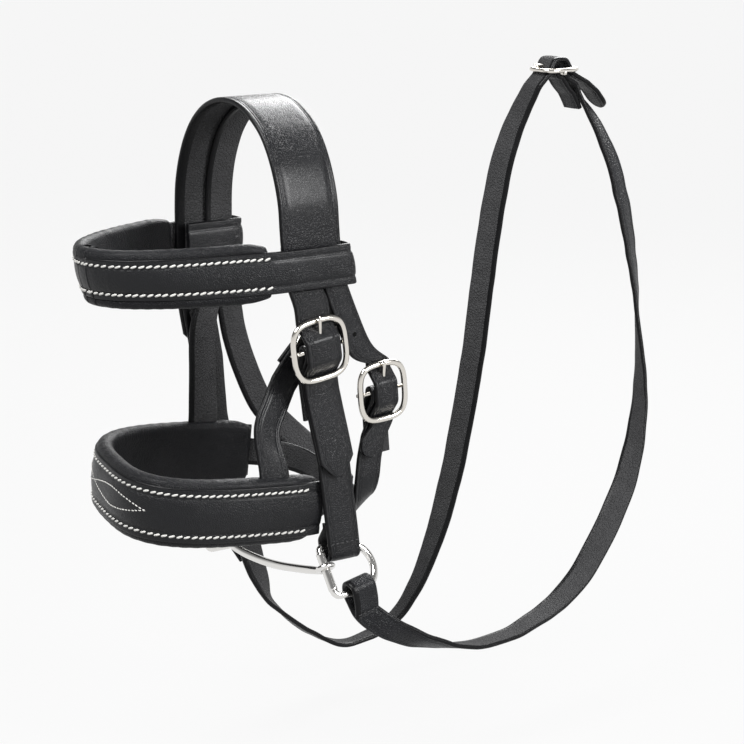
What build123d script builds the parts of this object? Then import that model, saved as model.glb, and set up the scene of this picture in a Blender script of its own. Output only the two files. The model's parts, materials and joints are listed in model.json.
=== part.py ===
from build123d import *
import os
from math import acos, cos, radians, sin, sqrt, tan

# Miniature English snaffle bridle.
# Nose towards -Y, near (left) side +X, up +Z. Origin: underside of the crown at the poll.
# Lengths in millimetres.

os.makedirs("parts", exist_ok=True)

# leather
CROWN_WIDTH = 30.0
CROWN_THICK = 2.4
STRAP_THICK = 2.0
BILLET_WIDTH = 17.5
THROAT_WIDTH = 12.0
THROAT_STRAP_WIDTH = 15.0
CHEEK_WIDTH = 16.5
HEADSTRAP_WIDTH = 14.0
REIN_WIDTH = 12.3
REIN_THICK = 2.2

# crown arch, measured on the middle of the leather
HALF_SPAN = 44.0
ARCH_LOW_RADIUS = 60.9
ARCH_TOP_RADIUS = 40.5
LEG_TOP = -52.0
LEG_SPLIT = -78.0
NEAR_SLANT = 0.20

# browband
BROW_HEIGHT = 18.5
BROW_PAD_HEIGHT = 26.0
BROW_Z = -67.5

# noseband: a rounded oval, measured on the outside of the face strap
NOSE_CENTRE = Vector(-1.5, -16.2, -170.1)
NOSE_YAW = -8.8
NOSE_PITCH = -3.6
NOSE_ROLL = 5.1
NOSE_HALF_WIDTH = 43.9
NOSE_FRONT = 55.7
NOSE_BACK = 54.5
NOSE_POWER = 2.9
NOSE_HEIGHT = 25.0
NOSE_PAD_HEIGHT = 31.0
NOSE_STRAP_WIDTH = 13.0
NOSE_BUCKLE_ANGLE = 76.0
NOSE_BUCKLE_HALF_Y = 10.0
NOSE_BUCKLE_HALF_Z = 8.9

# hardware
BAR_RADIUS = 0.9
BAR_DEPTH = -0.4
EYE_RADIUS = 2.15
PRONG_RADIUS = 0.8
RING_WIRE = 1.7
RING_HALF = 11.5
RING_STRAIGHT = 13.0
BARREL_RADIUS = 1.9
MOUTH_RADIUS = 1.9


class Frame:
    """Local axes: x out of the leather, y up the strap, z across it."""

    def __init__(self, origin, out, up):
        self.origin = Vector(*origin)
        self.out = Vector(*out).normalized()
        up = Vector(*up)
        up = up - self.out * up.dot(self.out)
        self.up = up.normalized()
        self.across = self.out.cross(self.up)

    def at(self, x, y, z=0.0):
        return self.origin + self.out * x + self.up * y + self.across * z

    def plane(self, x, y, z=0.0):
        return Plane(origin=self.at(x, y, z), x_dir=self.out, z_dir=self.across)


def rounded(path):
    """Turn corners (x, y, radius) into a line of points with round corners."""
    points = [Vector(path[0][0], path[0][1])]
    for before, corner, after in zip(path, path[1:], path[2:]):
        here = Vector(corner[0], corner[1])
        back = (Vector(before[0], before[1]) - here).normalized()
        ahead = (Vector(after[0], after[1]) - here).normalized()
        turn = acos(max(-1.0, min(1.0, -back.dot(ahead))))
        if corner[2] < 0.05 or turn < 0.02:
            points.append(here)
            continue
        reach = corner[2] * tan(turn / 2)
        middle = (back + ahead).normalized()
        centre = here + middle * sqrt(reach * reach + corner[2] ** 2)
        start = here + back * reach - centre
        end = here + ahead * reach - centre
        steps = max(2, int(turn / radians(20 if corner[2] < 12 else 8)))
        for k in range(steps + 1):
            mix = turn * k / steps
            arm = start * (sin(turn - mix) / sin(turn)) + end * (sin(mix) / sin(turn)) if turn < 3.1 else start
            points.append(centre + arm)
    points.append(Vector(path[-1][0], path[-1][1]))
    kept = [points[0]]
    for point in points[1:]:
        if (point - kept[-1]).length > 0.3:
            kept.append(point)
    return kept


def smooth(stations, steps=4):
    """Catmull-Rom line through stations of any number of values."""
    out = []
    last = len(stations) - 1
    for i in range(last):
        p0 = stations[max(i - 1, 0)]
        p1 = stations[i]
        p2 = stations[i + 1]
        p3 = stations[min(i + 2, last)]
        for k in range(steps):
            t = k / steps
            out.append([0.5 * (2 * b + (c - a) * t + (2 * a - 5 * b + 4 * c - d) * t * t
                               + (3 * b - a - 3 * c + d) * t ** 3)
                        for a, b, c, d in zip(p0, p1, p2, p3)])
    out.append(list(stations[last]))
    return out


def ribbon(points, sides, width, thick, tip=0.0, tail=0.0):
    """Flat strap along points; sides hold the width direction at each point."""
    total = [0.0]
    for a, b in zip(points, points[1:]):
        total.append(total[-1] + (b - a).length)
    wires = []
    for i, point in enumerate(points):
        ahead = points[min(i + 1, len(points) - 1)] - points[max(i - 1, 0)]
        side = sides[i].normalized()
        face = ahead.cross(side).normalized() * (thick / 2)
        share = 1.0
        if tip:
            share = min(1.0, 0.25 + 0.75 * (total[-1] - total[i]) / tip)
        if tail:
            share = min(share, 0.5 + 0.5 * total[i] / tail)
        half = side * (width * share / 2)
        wires.append(Wire.make_polygon([point + half + face, point - half + face,
                                        point - half - face, point + half - face]))
    return Solid.make_loft(wires, True)


def with_tip(points, tip):
    """Add a point where the taper of a pointed end starts."""
    back = points[-2] - points[-1]
    if tip and back.length > tip + 0.5:
        points.insert(len(points) - 1, points[-1] + back.normalized() * tip)
    return points


def flat_strap(frame, path, width, thick, tip=0.0):
    """Strap whose middle line lies in the frame's x-y plane."""
    points = [frame.at(p.X, p.Y) for p in with_tip(rounded(path), tip)]
    return ribbon(points, [frame.across] * len(points), width, thick, tip)


def free_strap(stations, width, thick, steps=4):
    """Strap through stations (x, y, z, side x, side y, side z)."""
    dense = smooth(stations, steps)
    points = [Vector(*s[:3]) for s in dense]
    sides = [Vector(*s[3:]) for s in dense]
    return ribbon(points, sides, width, thick)


def block(frame, x, y, z):
    """Box between the limits x, y and z, each a pair."""
    size = [b - a for a, b in (x, y, z)]
    middle = [(a + b) / 2 for a, b in (x, y, z)]
    return frame.plane(*middle) * Box(*size)


def save(solid, name):
    export_step(solid, "parts/" + name + ".step")
    return solid


# buckles: frame wire, middle bar and tongue

def wire_loop(plane, half_y, half_z, corner, radius):
    turned = Plane(origin=plane.origin, x_dir=plane.z_dir, z_dir=plane.x_dir)
    outline = (turned * RectangleRounded(2 * half_z, 2 * half_y, corner)).wire()
    start = Plane(origin=outline @ 0, z_dir=outline % 0)
    return sweep(start * Circle(radius), path=outline)


def buckle(frame, half_y, half_z, wire=1.4, rise=1.2):
    loop = wire_loop(frame.plane(rise, 0), half_y, half_z, 0.42 * half_y, wire)
    bar = frame.plane(BAR_DEPTH, 0) * Cylinder(BAR_RADIUS, 2 * half_z)
    for side in (-1, 1):
        lug = Plane(origin=frame.at(BAR_DEPTH, 0, side * half_z), x_dir=frame.up, z_dir=frame.out)
        bar += lug * Pos(0, 0, (rise - BAR_DEPTH) / 2) * Cylinder(0.9, rise - BAR_DEPTH)
    return loop + bar


def tongue(frame, half_y, wire=1.4, rise=1.2, width=2.2):
    eye = frame.plane(BAR_DEPTH, 0) * Cylinder(EYE_RADIUS, width)
    eye -= frame.plane(BAR_DEPTH, 0) * Cylinder(BAR_RADIUS + 0.35, width + 2)
    rest = rise + wire + PRONG_RADIUS + 0.3
    start = frame.at(BAR_DEPTH + 1.75, 0.6)
    over = frame.at(rest, half_y)
    run = over - start
    end = over + run.normalized() * 2.4
    rod = end - start
    prong = Plane(origin=start, z_dir=rod) * Pos(0, 0, rod.length / 2) * Cylinder(PRONG_RADIUS, rod.length)
    return eye + prong + Plane(origin=end) * Sphere(PRONG_RADIUS)


def billet_wave(thick, half_y, over=4.1):
    """Corners of a billet under one end bar, over the middle bar, under the other."""
    under = -0.35 - thick / 2
    edge = half_y - 1.5 if half_y > 12 else half_y - 2.0
    return [(under, edge, 4), (over, edge * 0.42, 3), (over, -edge * 0.42, 3), (under, -edge, 4)]


def tongue_slots(frame):
    fold = block(frame, (-3.6, 3.2), (-2.6, 5.5), (-1.5, 1.5))
    billet = block(frame, (-3.0, 8.0), (1.6, 10.6), (-1.3, 1.3))
    return fold, billet


# frames of the straps

CHEEK = {
    "near": Frame((HALF_SPAN + 1.6, 5.2, -103.5), (1, 0, 0), (0, -0.135, 0.991)),
    "far": Frame((-HALF_SPAN - 1.6, -2.0, -103.5), (-1, 0, 0), (0, -0.168, 0.986)),
}
CHEEK_HALF_Y = 13.0
CHEEK_HALF_Z = 13.2
CHEEK_BOW = 4.9
FAR_LAP_TOP = 14.0
FAR_LAP_END = -14.0
FAR_HANG_ANGLE = 178.0
RING_AT = (-3.3, -91.6)
RING_LEAD = 11.0
RING_TILT = {"near": 36.0, "far": 8.0}

THROAT = Frame((HALF_SPAN + 1.6, 38.2, -126.5), (1, 0, 0), (0, -0.08, 1))
THROAT_HALF_Y = 12.5
THROAT_HALF_Z = 11.8

HEAD = Frame((32.8, 12.0, -105.0), (1, 0, 0), (0, 0.70, 0.714))
HEAD_HALF_Y = 10.5
HEAD_HALF_Z = 9.0

REIN = Frame((0, 171.2, 3.1), (0, 0, 1), (0, -1, 0))
REIN_HALF_Y = 9.8
REIN_HALF_Z = 8.2
REIN_LOOP_TURN = {"near": 12.0, "far": 32.0}
REIN_LOOP_BACK = {"near": 2.5, "far": 0.0}


def nose_frame():
    turn = Rot(0, 0, NOSE_YAW) * Rot(NOSE_PITCH, 0, 0) * Rot(0, NOSE_ROLL, 0)
    axes = Plane(turn)
    return Frame(NOSE_CENTRE, axes.x_dir, axes.y_dir)


NOSE = nose_frame()


def nose_curve(angle, inset):
    """Point on the noseband's oval, moved inwards by inset, in its own plane."""
    def raw(a):
        c = cos(radians(a))
        s = sin(radians(a))
        depth = NOSE_FRONT if s < 0 else NOSE_BACK
        x = NOSE_HALF_WIDTH * abs(c) ** (2 / NOSE_POWER) * (1 if c > 0 else -1)
        y = depth * abs(s) ** (2 / NOSE_POWER) * (1 if s > 0 else -1)
        return Vector(x, y)
    here = raw(angle)
    ahead = raw(angle + 1.0) - raw(angle - 1.0)
    normal = Vector(ahead.Y, -ahead.X).normalized()
    return here - normal * inset, normal


def nose_path(start, end, inset, steps):
    path = []
    for k in range(steps + 1):
        point, normal = nose_curve(start + (end - start) * k / steps, inset)
        path.append((point.X, point.Y, 0))
    return path


def nose_hang(angle, heights):
    """Stations of a strap that runs down between the noseband's face and padding."""
    stations = []
    for z in heights:
        spot, normal = nose_curve(angle, 3.5 if z < 10 else 4.4)
        side = NOSE.out * -normal.Y + NOSE.up * normal.X
        if side.Y < 0:
            side = side * -1
        stations.append(tuple(NOSE.at(spot.X, spot.Y, z)) + tuple(side))
    return stations


def nose_buckle_frame():
    point, normal = nose_curve(NOSE_BUCKLE_ANGLE, 2.2)
    out = NOSE.out * normal.X + NOSE.up * normal.Y
    up = NOSE.across.cross(out)
    return Frame(NOSE.at(point.X, point.Y), out, up)


# leather

def crown():
    arch = Frame((0, 2, 0), (1, 0, 0), (0, 0, 1))
    top = CROWN_THICK / 2
    low = ARCH_LOW_RADIUS * tan(radians(17.5))
    high = ARCH_TOP_RADIUS * tan(radians(27.5))
    shoulder = top - (low + high) * sin(radians(55))
    path = [(HALF_SPAN, LEG_TOP - 4, 0), (HALF_SPAN, shoulder, ARCH_LOW_RADIUS),
            (high, top, ARCH_TOP_RADIUS), (-high, top, ARCH_TOP_RADIUS),
            (-HALF_SPAN, shoulder, ARCH_LOW_RADIUS), (-HALF_SPAN, LEG_TOP - 4, 0)]
    body = flat_strap(arch, path, CROWN_WIDTH, CROWN_THICK)
    half = CROWN_WIDTH / 2
    for side, slant in ((1, NEAR_SLANT), (-1, 0.0)):
        drop = LEG_TOP - 3.9 - LEG_SPLIT
        shift = slant * drop
        corners = [(2 - half, LEG_TOP - 3.9), (2 + half, LEG_TOP - 3.9),
                   (2 + half + shift, LEG_SPLIT), (2 - half + shift, LEG_SPLIT)]
        inner = side * HALF_SPAN - CROWN_THICK / 2
        outline = Polyline(*[Vector(inner, y, z) for y, z in corners], close=True)
        body += extrude(make_face(outline), amount=CROWN_THICK, dir=(1, 0, 0))
    for name, slant in (("near", NEAR_SLANT), ("far", 0.0)):
        body += cheek_billet(CHEEK[name], name, 2 + slant * (LEG_TOP - 3.9 - LEG_SPLIT))
    body += throat_billet()
    return body


def cheek_billet(frame, name, centre):
    side = 1 if name == "near" else -1
    wave = billet_wave(CROWN_THICK, CHEEK_HALF_Y)
    root = centre - CROWN_WIDTH / 2 + BILLET_WIDTH / 2
    start = frame.at(wave[0][0], 20)
    stations = [(side * HALF_SPAN, root - 0.4, LEG_SPLIT + 1.5, 0, 1, 0),
                (side * HALF_SPAN, root, LEG_SPLIT, 0, 1, 0),
                (start.X, start.Y, start.Z, 0, frame.up.Z, -frame.up.Y)]
    buckled = [(wave[0][0], 20, 0)] + wave + [(wave[0][0], -20, 12), (wave[0][0] + CHEEK_BOW, -50, 12),
                                              (wave[0][0] + CHEEK_BOW, -58, 0)]
    sewn = [(wave[0][0], 20, 0), (wave[0][0], FAR_LAP_END, 0)]
    flat = [frame.at(p.X, p.Y) for p in with_tip(rounded(buckled if name == "near" else sewn), 8)]
    points = [Vector(*s[:3]) for s in stations[:2]] + flat
    sides = [Vector(0, 1, 0)] * 2 + [Vector(0, frame.up.Z, -frame.up.Y)] * len(flat)
    strap = ribbon(points, sides, BILLET_WIDTH, CROWN_THICK, 8)
    return strap - tongue_slots(frame)[1] if name == "near" else strap


def throat_billet():
    frame = THROAT
    wave = billet_wave(CROWN_THICK, THROAT_HALF_Y)
    root = 2 + NEAR_SLANT * (LEG_TOP - 3.9 - LEG_SPLIT) + CROWN_WIDTH / 2 - THROAT_WIDTH / 2
    flat = rounded([(wave[0][0], 13.5, 0)] + wave + [(wave[0][0], -15, 0)])
    flat = [frame.at(p.X, p.Y) for p in flat]
    points = [Vector(HALF_SPAN, root - 0.4, LEG_SPLIT + 1.5), Vector(HALF_SPAN, root, LEG_SPLIT),
              Vector(HALF_SPAN, root + 5.6, LEG_SPLIT - 14), Vector(HALF_SPAN, root + 13, LEG_SPLIT - 29)]
    points += flat + [Vector(HALF_SPAN + 0.5, 33.6, -150), Vector(HALF_SPAN + 0.7, 32.2, -156)]
    sides = [Vector(0, 1, 0), Vector(0, 1, 0.1), Vector(0, 0.95, 0.35), Vector(0, 0.95, 0.35)]
    sides += [frame.across * -1] * len(flat) + [Vector(0, 1, -0.2)] * 2
    strap = ribbon(points, sides, THROAT_WIDTH, CROWN_THICK, 7)
    return strap - tongue_slots(frame)[1]


def bar_fold(tail_end, tail_depth, layer=-4.0, reach=11.4):
    """Strap end folded round the middle bar: inner tail, turn, then the outer layer."""
    turn = 2.25
    return [(tail_depth, tail_end, 0), (tail_depth, 3.4 - reach, 3), (BAR_DEPTH - turn, -0.6, 1.2),
            (BAR_DEPTH - turn, turn, turn * 0.99), (BAR_DEPTH + turn, turn, turn * 0.99),
            (BAR_DEPTH + turn, -2.6 if reach > 10 else -1.0, 2), (layer, -reach, 3)]


def cheekpiece(name):
    frame = CHEEK[name]
    x, y = RING_AT
    low = y - 6.1
    face = x + 4.2
    top = bar_fold(-32, -6.3) if name == "near" else [(-4.0, FAR_LAP_TOP, 0)]
    path = top + [(-4.0, -20, 12), (face, -50, 12), (face, low, 3.7), (x - 3.6, low, 3.7),
                  (x - 3.6, y + 2.5, 3), (face - 2.3, y + 9, 2), (face - 2.3, y + 11.5, 0)]
    line = rounded(path)
    level = Vector(0, 1 if frame.across.Y > 0 else -1, 0)
    sides = [level if p.Y < -72 else frame.across for p in line]
    strap = ribbon([frame.at(p.X, p.Y) for p in line], sides, CHEEK_WIDTH, STRAP_THICK)
    return strap - tongue_slots(frame)[0] if name == "near" else strap


def throatlatch():
    frame = THROAT
    fold = rounded(bar_fold(-30, -6.3, reach=10.6) + [(-4.0, -14, 0)])
    fold = [frame.at(p.X, p.Y) for p in fold]
    sides = [frame.across * -1] * len(fold)
    stations = [(42.0, 36.4, -147.5, 0, 1, -0.2), (41.8, 34.5, -157, 0, 1, -0.1),
                (41.5, 33.4, -167, 0, 1, 0), (38, 34.0, -176.5, -0.1, 0.9, 0.35),
                (27, 38.5, -182.5, -0.2, 0.8, 0.6), (10, 43.5, -183.5, -0.1, 0.8, 0.6),
                (-8, 45.0, -178, 0, 0.8, 0.6), (-26, 45.5, -169, 0.2, 0.75, 0.6),
                (-39, 39.5, -159, 0.2, 0.8, 0.5), (-43, 31, -148, 0, 0.9, 0.42),
                (-42.9, 22.5, -130, 0, 0.9, 0.42), (-42.6, 16.6, -113, 0, 0.95, 0.3),
                (-42.6, 14.4, -101, 0, 1, 0.1), (-43.2, 12.6, -89, 0, 1, 0.1),
                (-44, 11.4, LEG_SPLIT - 0.6, 0, 1, 0)]
    dense = smooth(stations)
    points = fold + [Vector(*s[:3]) for s in dense]
    sides += [Vector(*s[3:]) for s in dense]
    strap = ribbon(points, sides, THROAT_STRAP_WIDTH - 2, STRAP_THICK)
    return strap - tongue_slots(frame)[0]


def browband_line():
    """Middle line of the browband, from the near loop round the front to the far loop."""
    half = [(46.9, -9, 3), (45.6, -17, 20), (41.5, -31, 40), (36, -47, 50), (29, -62, 40),
            (19, -75, 30), (8, -81.6, 30)]
    return half + [(0, -82.8, 30)] + [(-x, y, r) for x, y, r in reversed(half)]


def brow_ribbon(line, width, thick, depth=0.0):
    """Strap on edge round the browband's line, moved inwards by depth."""
    points = []
    sides = []
    for i, p in enumerate(line):
        ahead = line[min(i + 1, len(line) - 1)] - line[max(i - 1, 0)]
        inward = Vector(ahead.Y, -ahead.X).normalized()
        share = max(0.0, min(1.0, (p.X - 34) / 10)) * max(0.0, min(1.0, (p.Y + 30) / 20))
        drop = -1.6 * max(0.0, -p.Y) / 80
        flare = 0.2 * max(0.0, -p.Y - 30) / 50
        side = Vector(-inward.X * flare, -inward.Y * flare - NEAR_SLANT * share, 1)
        points.append(Vector(p.X, p.Y, BROW_Z + drop) + inward * depth)
        sides.append(side)
    return ribbon(points, sides, width, thick)


def browband_face():
    near = [(38.7, -8, 0), (38.7, 22.4, 2), (46.9, 22.4, 2)]
    far = [(-46.9, 18.5, 2), (-38.2, 18.5, 2), (-38.2, -10, 0)]
    return brow_ribbon(rounded(near + browband_line() + far), BROW_HEIGHT, STRAP_THICK)


def browband_padding():
    line = [p for p in rounded(browband_line()) if p.Y < -17.5]
    return brow_ribbon(line, BROW_PAD_HEIGHT, 4.4, 3.5)


def headstrap():
    arch = Frame((0, 8.5, 0), (1, 0, 0), (0, 0, 1))
    gap = CROWN_THICK / 2 + 0.25 + STRAP_THICK / 2
    top = CROWN_THICK / 2 - gap
    low = (ARCH_LOW_RADIUS - gap) * tan(radians(17.5))
    high = (ARCH_TOP_RADIUS - gap) * tan(radians(27.5))
    shoulder = top - (low + high) * sin(radians(55))
    x = HALF_SPAN - gap
    path = [(x, LEG_TOP, 0), (x, shoulder, ARCH_LOW_RADIUS - gap), (high, top, ARCH_TOP_RADIUS - gap),
            (-high, top, ARCH_TOP_RADIUS - gap), (-x, shoulder, ARCH_LOW_RADIUS - gap), (-x, LEG_TOP, 0)]
    middle = [arch.at(p.X, p.Y) for p in rounded(path)]
    wave = billet_wave(STRAP_THICK, HEAD_HALF_Y, 4.3)
    flat = rounded([(wave[0][0], 12.5, 0)] + wave + [(wave[0][0], -14.5, 0)])
    flat = [HEAD.at(p.X, p.Y) for p in with_tip(flat, 6)]
    near = smooth([(x, 8.5, LEG_TOP - 2, 0, 1, 0), (x - 0.1, 10.4, -66, 0, 1, 0.1), (x - 0.7, 14.0, -78, 0, 0.98, 0.1),
                   (37.8, 18.0, -86, 0, 0.95, -0.1), (32.6, 21.6, -93, 0, 0.8, -0.5)])
    far = smooth([(-x, 8.5, LEG_TOP - 2, 0, 1, 0), (-x + 0.2, 8.2, -66, 0, 1, 0), (-x + 0.8, 7.6, -76, 0, 1, 0), (-37.6, 1.8, -91, 0, 1, 0.2),
                  (-36.8, -3.4, -106, 0, 1, 0.08), (-37.0, -4.2, -130, 0, 1, 0)]
                 + nose_hang(FAR_HANG_ANGLE, (17, 6, -6)))
    points = [Vector(*s[:3]) for s in reversed(far)] + list(reversed(middle))
    points += [Vector(*s[:3]) for s in near] + flat
    sides = [Vector(*s[3:]) for s in reversed(far)] + [Vector(0, 1, 0)] * len(middle)
    sides += [Vector(*s[3:]) for s in near] + [HEAD.across * -1] * len(flat)
    strap = ribbon(points, sides, HEADSTRAP_WIDTH, STRAP_THICK, 6)
    return strap - tongue_slots(HEAD)[1]


def near_hanger():
    fold = rounded(bar_fold(-15, -6.6, layer=-4.2, reach=HEAD_HALF_Y - 2.6) + [(-4.0, -12, 0)])
    fold = [HEAD.at(p.X, p.Y) for p in fold]
    stations = [(29.6, -2.6, -120.5, 0, 0.8, -0.6), (33.0, -9.4, -129, 0, 0.84, -0.5),
                (35.8, -15.4, -140, 0, 0.92, -0.36)] + nose_hang(3, (17, 6, -6))
    dense = smooth(stations)
    points = fold + [Vector(*s[:3]) for s in dense]
    sides = [HEAD.across * -1] * len(fold) + [Vector(*s[3:]) for s in dense]
    strap = ribbon(points, sides, HEADSTRAP_WIDTH, STRAP_THICK)
    return strap - tongue_slots(HEAD)[0]


def noseband_face():
    return flat_strap(NOSE, nose_path(26, -206, 1.0, 58), NOSE_HEIGHT, 2.0)


def hang_pocket(angle):
    """Recess in the padding for a strap hung inside the noseband."""
    stations = nose_hang(angle, (24, 16, 6, -7))
    inward = Vector(-1 if angle < 90 else 1, 0, 0) * 0.6
    points = [Vector(*s[:3]) + inward for s in stations]
    return ribbon(points, [Vector(*s[3:]) for s in stations], HEADSTRAP_WIDTH + 2.2, STRAP_THICK + 3.2)


def noseband_padding():
    pad = flat_strap(NOSE, nose_path(25, -205, 5.2, 58), NOSE_PAD_HEIGHT, 6.0)
    for pocket in (nose_billet(0.6), nose_buckle_strap(0.6), hang_pocket(3), hang_pocket(FAR_HANG_ANGLE)):
        pad -= pocket
    return pad


def nose_billet(grow=0.0):
    point, normal = nose_curve(NOSE_BUCKLE_ANGLE, 2.2)
    tangent = Vector(-normal.Y, normal.X)
    wave = billet_wave(STRAP_THICK, NOSE_BUCKLE_HALF_Y, 4.3)
    local = [(wave[0][0], 12.5, 0)] + wave + [(wave[0][0] - 0.6, -15, 4), (wave[0][0] - 2.4, -24, 0)]
    path = nose_path(160, 94, 3.4, 17)
    for x, y, r in local:
        spot = point + normal * x + tangent * y
        path.append((spot.X, spot.Y, r))
    strap = flat_strap(NOSE, path, NOSE_STRAP_WIDTH + grow, STRAP_THICK + grow, 5)
    return strap if grow else strap - tongue_slots(nose_buckle_frame())[1]


def nose_buckle_strap(grow=0.0):
    point, normal = nose_curve(NOSE_BUCKLE_ANGLE, 2.2)
    tangent = Vector(-normal.Y, normal.X)
    path = []
    for x, y, r in bar_fold(-9, -7.0, layer=-4.2, reach=NOSE_BUCKLE_HALF_Y - 2.4) + [(-4.8, -12, 3)]:
        spot = point + normal * x + tangent * y
        path.append((spot.X, spot.Y, r))
    for angle, inset in ((45, 6.2), (36, 5.2), (29, 4.0)):
        spot = nose_curve(angle, inset)[0]
        path.append((spot.X, spot.Y, 3))
    path += nose_path(24, 12, 3.4, 3)
    strap = flat_strap(NOSE, path, NOSE_STRAP_WIDTH + grow, STRAP_THICK + grow)
    return strap if grow else strap - tongue_slots(nose_buckle_frame())[0]


# bit

def ring_frame(name):
    side = 1 if name == "near" else -1
    loop = CHEEK[name].at(*RING_AT)
    tilt = radians(RING_TILT[name])
    down = Vector(side * sin(tilt), 0, -cos(tilt))
    origin = loop + down * RING_HALF + Vector(0, -RING_LEAD, 0)
    return Frame(origin, (0, 1, 0), down)


def bit_ring(name):
    frame = ring_frame(name)
    half = RING_HALF
    corner = 2.6
    spots = [(0, -half + corner), (0, half - corner), (corner, half), (RING_STRAIGHT, half),
             (RING_STRAIGHT + half, 0), (RING_STRAIGHT, -half), (corner, -half)]
    spots = [frame.at(x, y) for x, y in spots]
    bend = corner * (1 - cos(radians(45)))
    low = frame.at(bend, half - bend)
    high = frame.at(bend, -half + bend)
    outline = Wire([Line(spots[0], spots[1]).edge(), ThreePointArc(spots[1], low, spots[2]).edge(),
                    Line(spots[2], spots[3]).edge(), ThreePointArc(spots[3], spots[4], spots[5]).edge(),
                    Line(spots[5], spots[6]).edge(), ThreePointArc(spots[6], high, spots[0]).edge()])
    start = Plane(origin=spots[0], z_dir=frame.up)
    ring = sweep(start * Circle(RING_WIRE), path=outline)
    barrel = Plane(origin=frame.origin, z_dir=frame.up) * Cylinder(BARREL_RADIUS, 2 * (half - corner))
    return ring + barrel


def mouthpiece():
    near = ring_frame("near")
    far = ring_frame("far")
    eye = 3.45
    body = None
    ends = []
    for frame, shift in ((near, -2.0), (far, 0.0)):
        centre = frame.at(0, shift)
        hoop = Plane(origin=centre, z_dir=frame.up) * Torus(eye, 1.2)
        body = hoop if body is None else body + hoop
        side = 1 if centre.X > 0 else -1
        inward = Vector(-side * abs(frame.up.Z), 0, -side * frame.up.X)
        ends.append(centre + inward * (eye + 0.2))
    first, last = ends
    bar = Spline(first, Vector(28, 5.8, -207.3), Vector(11, 5.0, -209.9), Vector(-4, 4.6, -211),
                 Vector(-20, 3.8, -210.3), last)
    start = Plane(origin=bar @ 0, z_dir=bar % 0)
    return body + sweep(start * Circle(MOUTH_RADIUS), path=bar)


# reins

def rein_loop(name):
    """Fold round the bit ring: short tail, turn over the wire, then the rein's first run."""
    frame = ring_frame(name)
    turn = radians(REIN_LOOP_TURN[name])
    side = 1 if name == "near" else -1
    reach = RING_STRAIGHT + RING_HALF * sin(turn) - REIN_LOOP_BACK[name]
    centre = frame.at(reach, RING_HALF * cos(turn))
    up = Vector(0, -sin(turn), cos(turn))
    local = Frame(centre, (side, 0, 0), up)
    gap = RING_WIRE + 1.2 + REIN_THICK / 2
    top = gap + 1.2
    path = [(gap - 0.9, -10.5, 0), (gap, -4, 3), (gap, top, gap * 0.99), (-gap, top, gap * 0.99),
            (-gap, -2, 3), (-1.8, -6.5, 2.5)]
    return [local.at(p.X, p.Y) for p in rounded(path)], local.across * (1 if local.across.Y > 0 else -1)


def near_rein():
    fold, level = rein_loop("near")
    level = tuple(level)
    last = fold[-1]
    stations = [tuple(last + Vector(0, 0.6, -1.0)) + level, (54.6, 24.4, -224.2, 0.1, 0.88, 0.42),
                (57, 31.5, -230.5, 0.3, 0.74, 0.56), (58.6, 41, -236.8, 0.5, 0.6, 0.55),
                (59, 56, -243.6, 0.8, 0.35, 0.4),
                (58, 79.6, -249.8, 1, 0, 0.1), (55, 111.3, -248.9, 1, 0, 0),
                (50, 145.5, -237.1, 0.95, 0.2, -0.2), (43, 172.7, -214.7, 0.85, 0.4, -0.35),
                (37, 191.8, -189.1, 0.92, 0.25, -0.2), (30, 204.6, -157.1, 0.98, -0.15, 0),
                (24, 207.5, -123.4, 0.8, -0.56, 0), (18, 207.7, -89.5, 0.55, -0.8, 0),
                (13, 204.7, -60.3, 0.4, -0.9, -0.1), (9, 198.4, -35.8, 0.5, -0.8, -0.3),
                (4, 189.2, -16.5, 0.75, -0.5, -0.35), (0, 181.6, -4.6, 1, -0.1, -0.1)]
    dense = smooth(stations)
    bar = rounded([(-6.5, -9.5, 0), (-4.0, -5.0, 3), (BAR_DEPTH + 2.3, -1.5, 2), (BAR_DEPTH + 2.3, 2.3, 2.27),
                   (BAR_DEPTH - 2.3, 2.3, 2.27), (BAR_DEPTH - 2.3, -1.0, 1.6), (-6.9, -4.4, 3),
                   (-10.8, -8.0, 4), (-18, -12.0, 0)])
    bar = [REIN.at(p.X, p.Y) for p in bar]
    points = fold[:-1] + [Vector(*s[:3]) for s in dense[:-1]] + bar
    sides = [Vector(*level)] * (len(fold) - 1) + [Vector(*s[3:]) for s in dense[:-1]]
    sides += [Vector(1, 0, 0)] * len(bar)
    strap = ribbon(points, sides, REIN_WIDTH, REIN_THICK)
    return strap - tongue_slots(REIN)[0]


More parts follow.
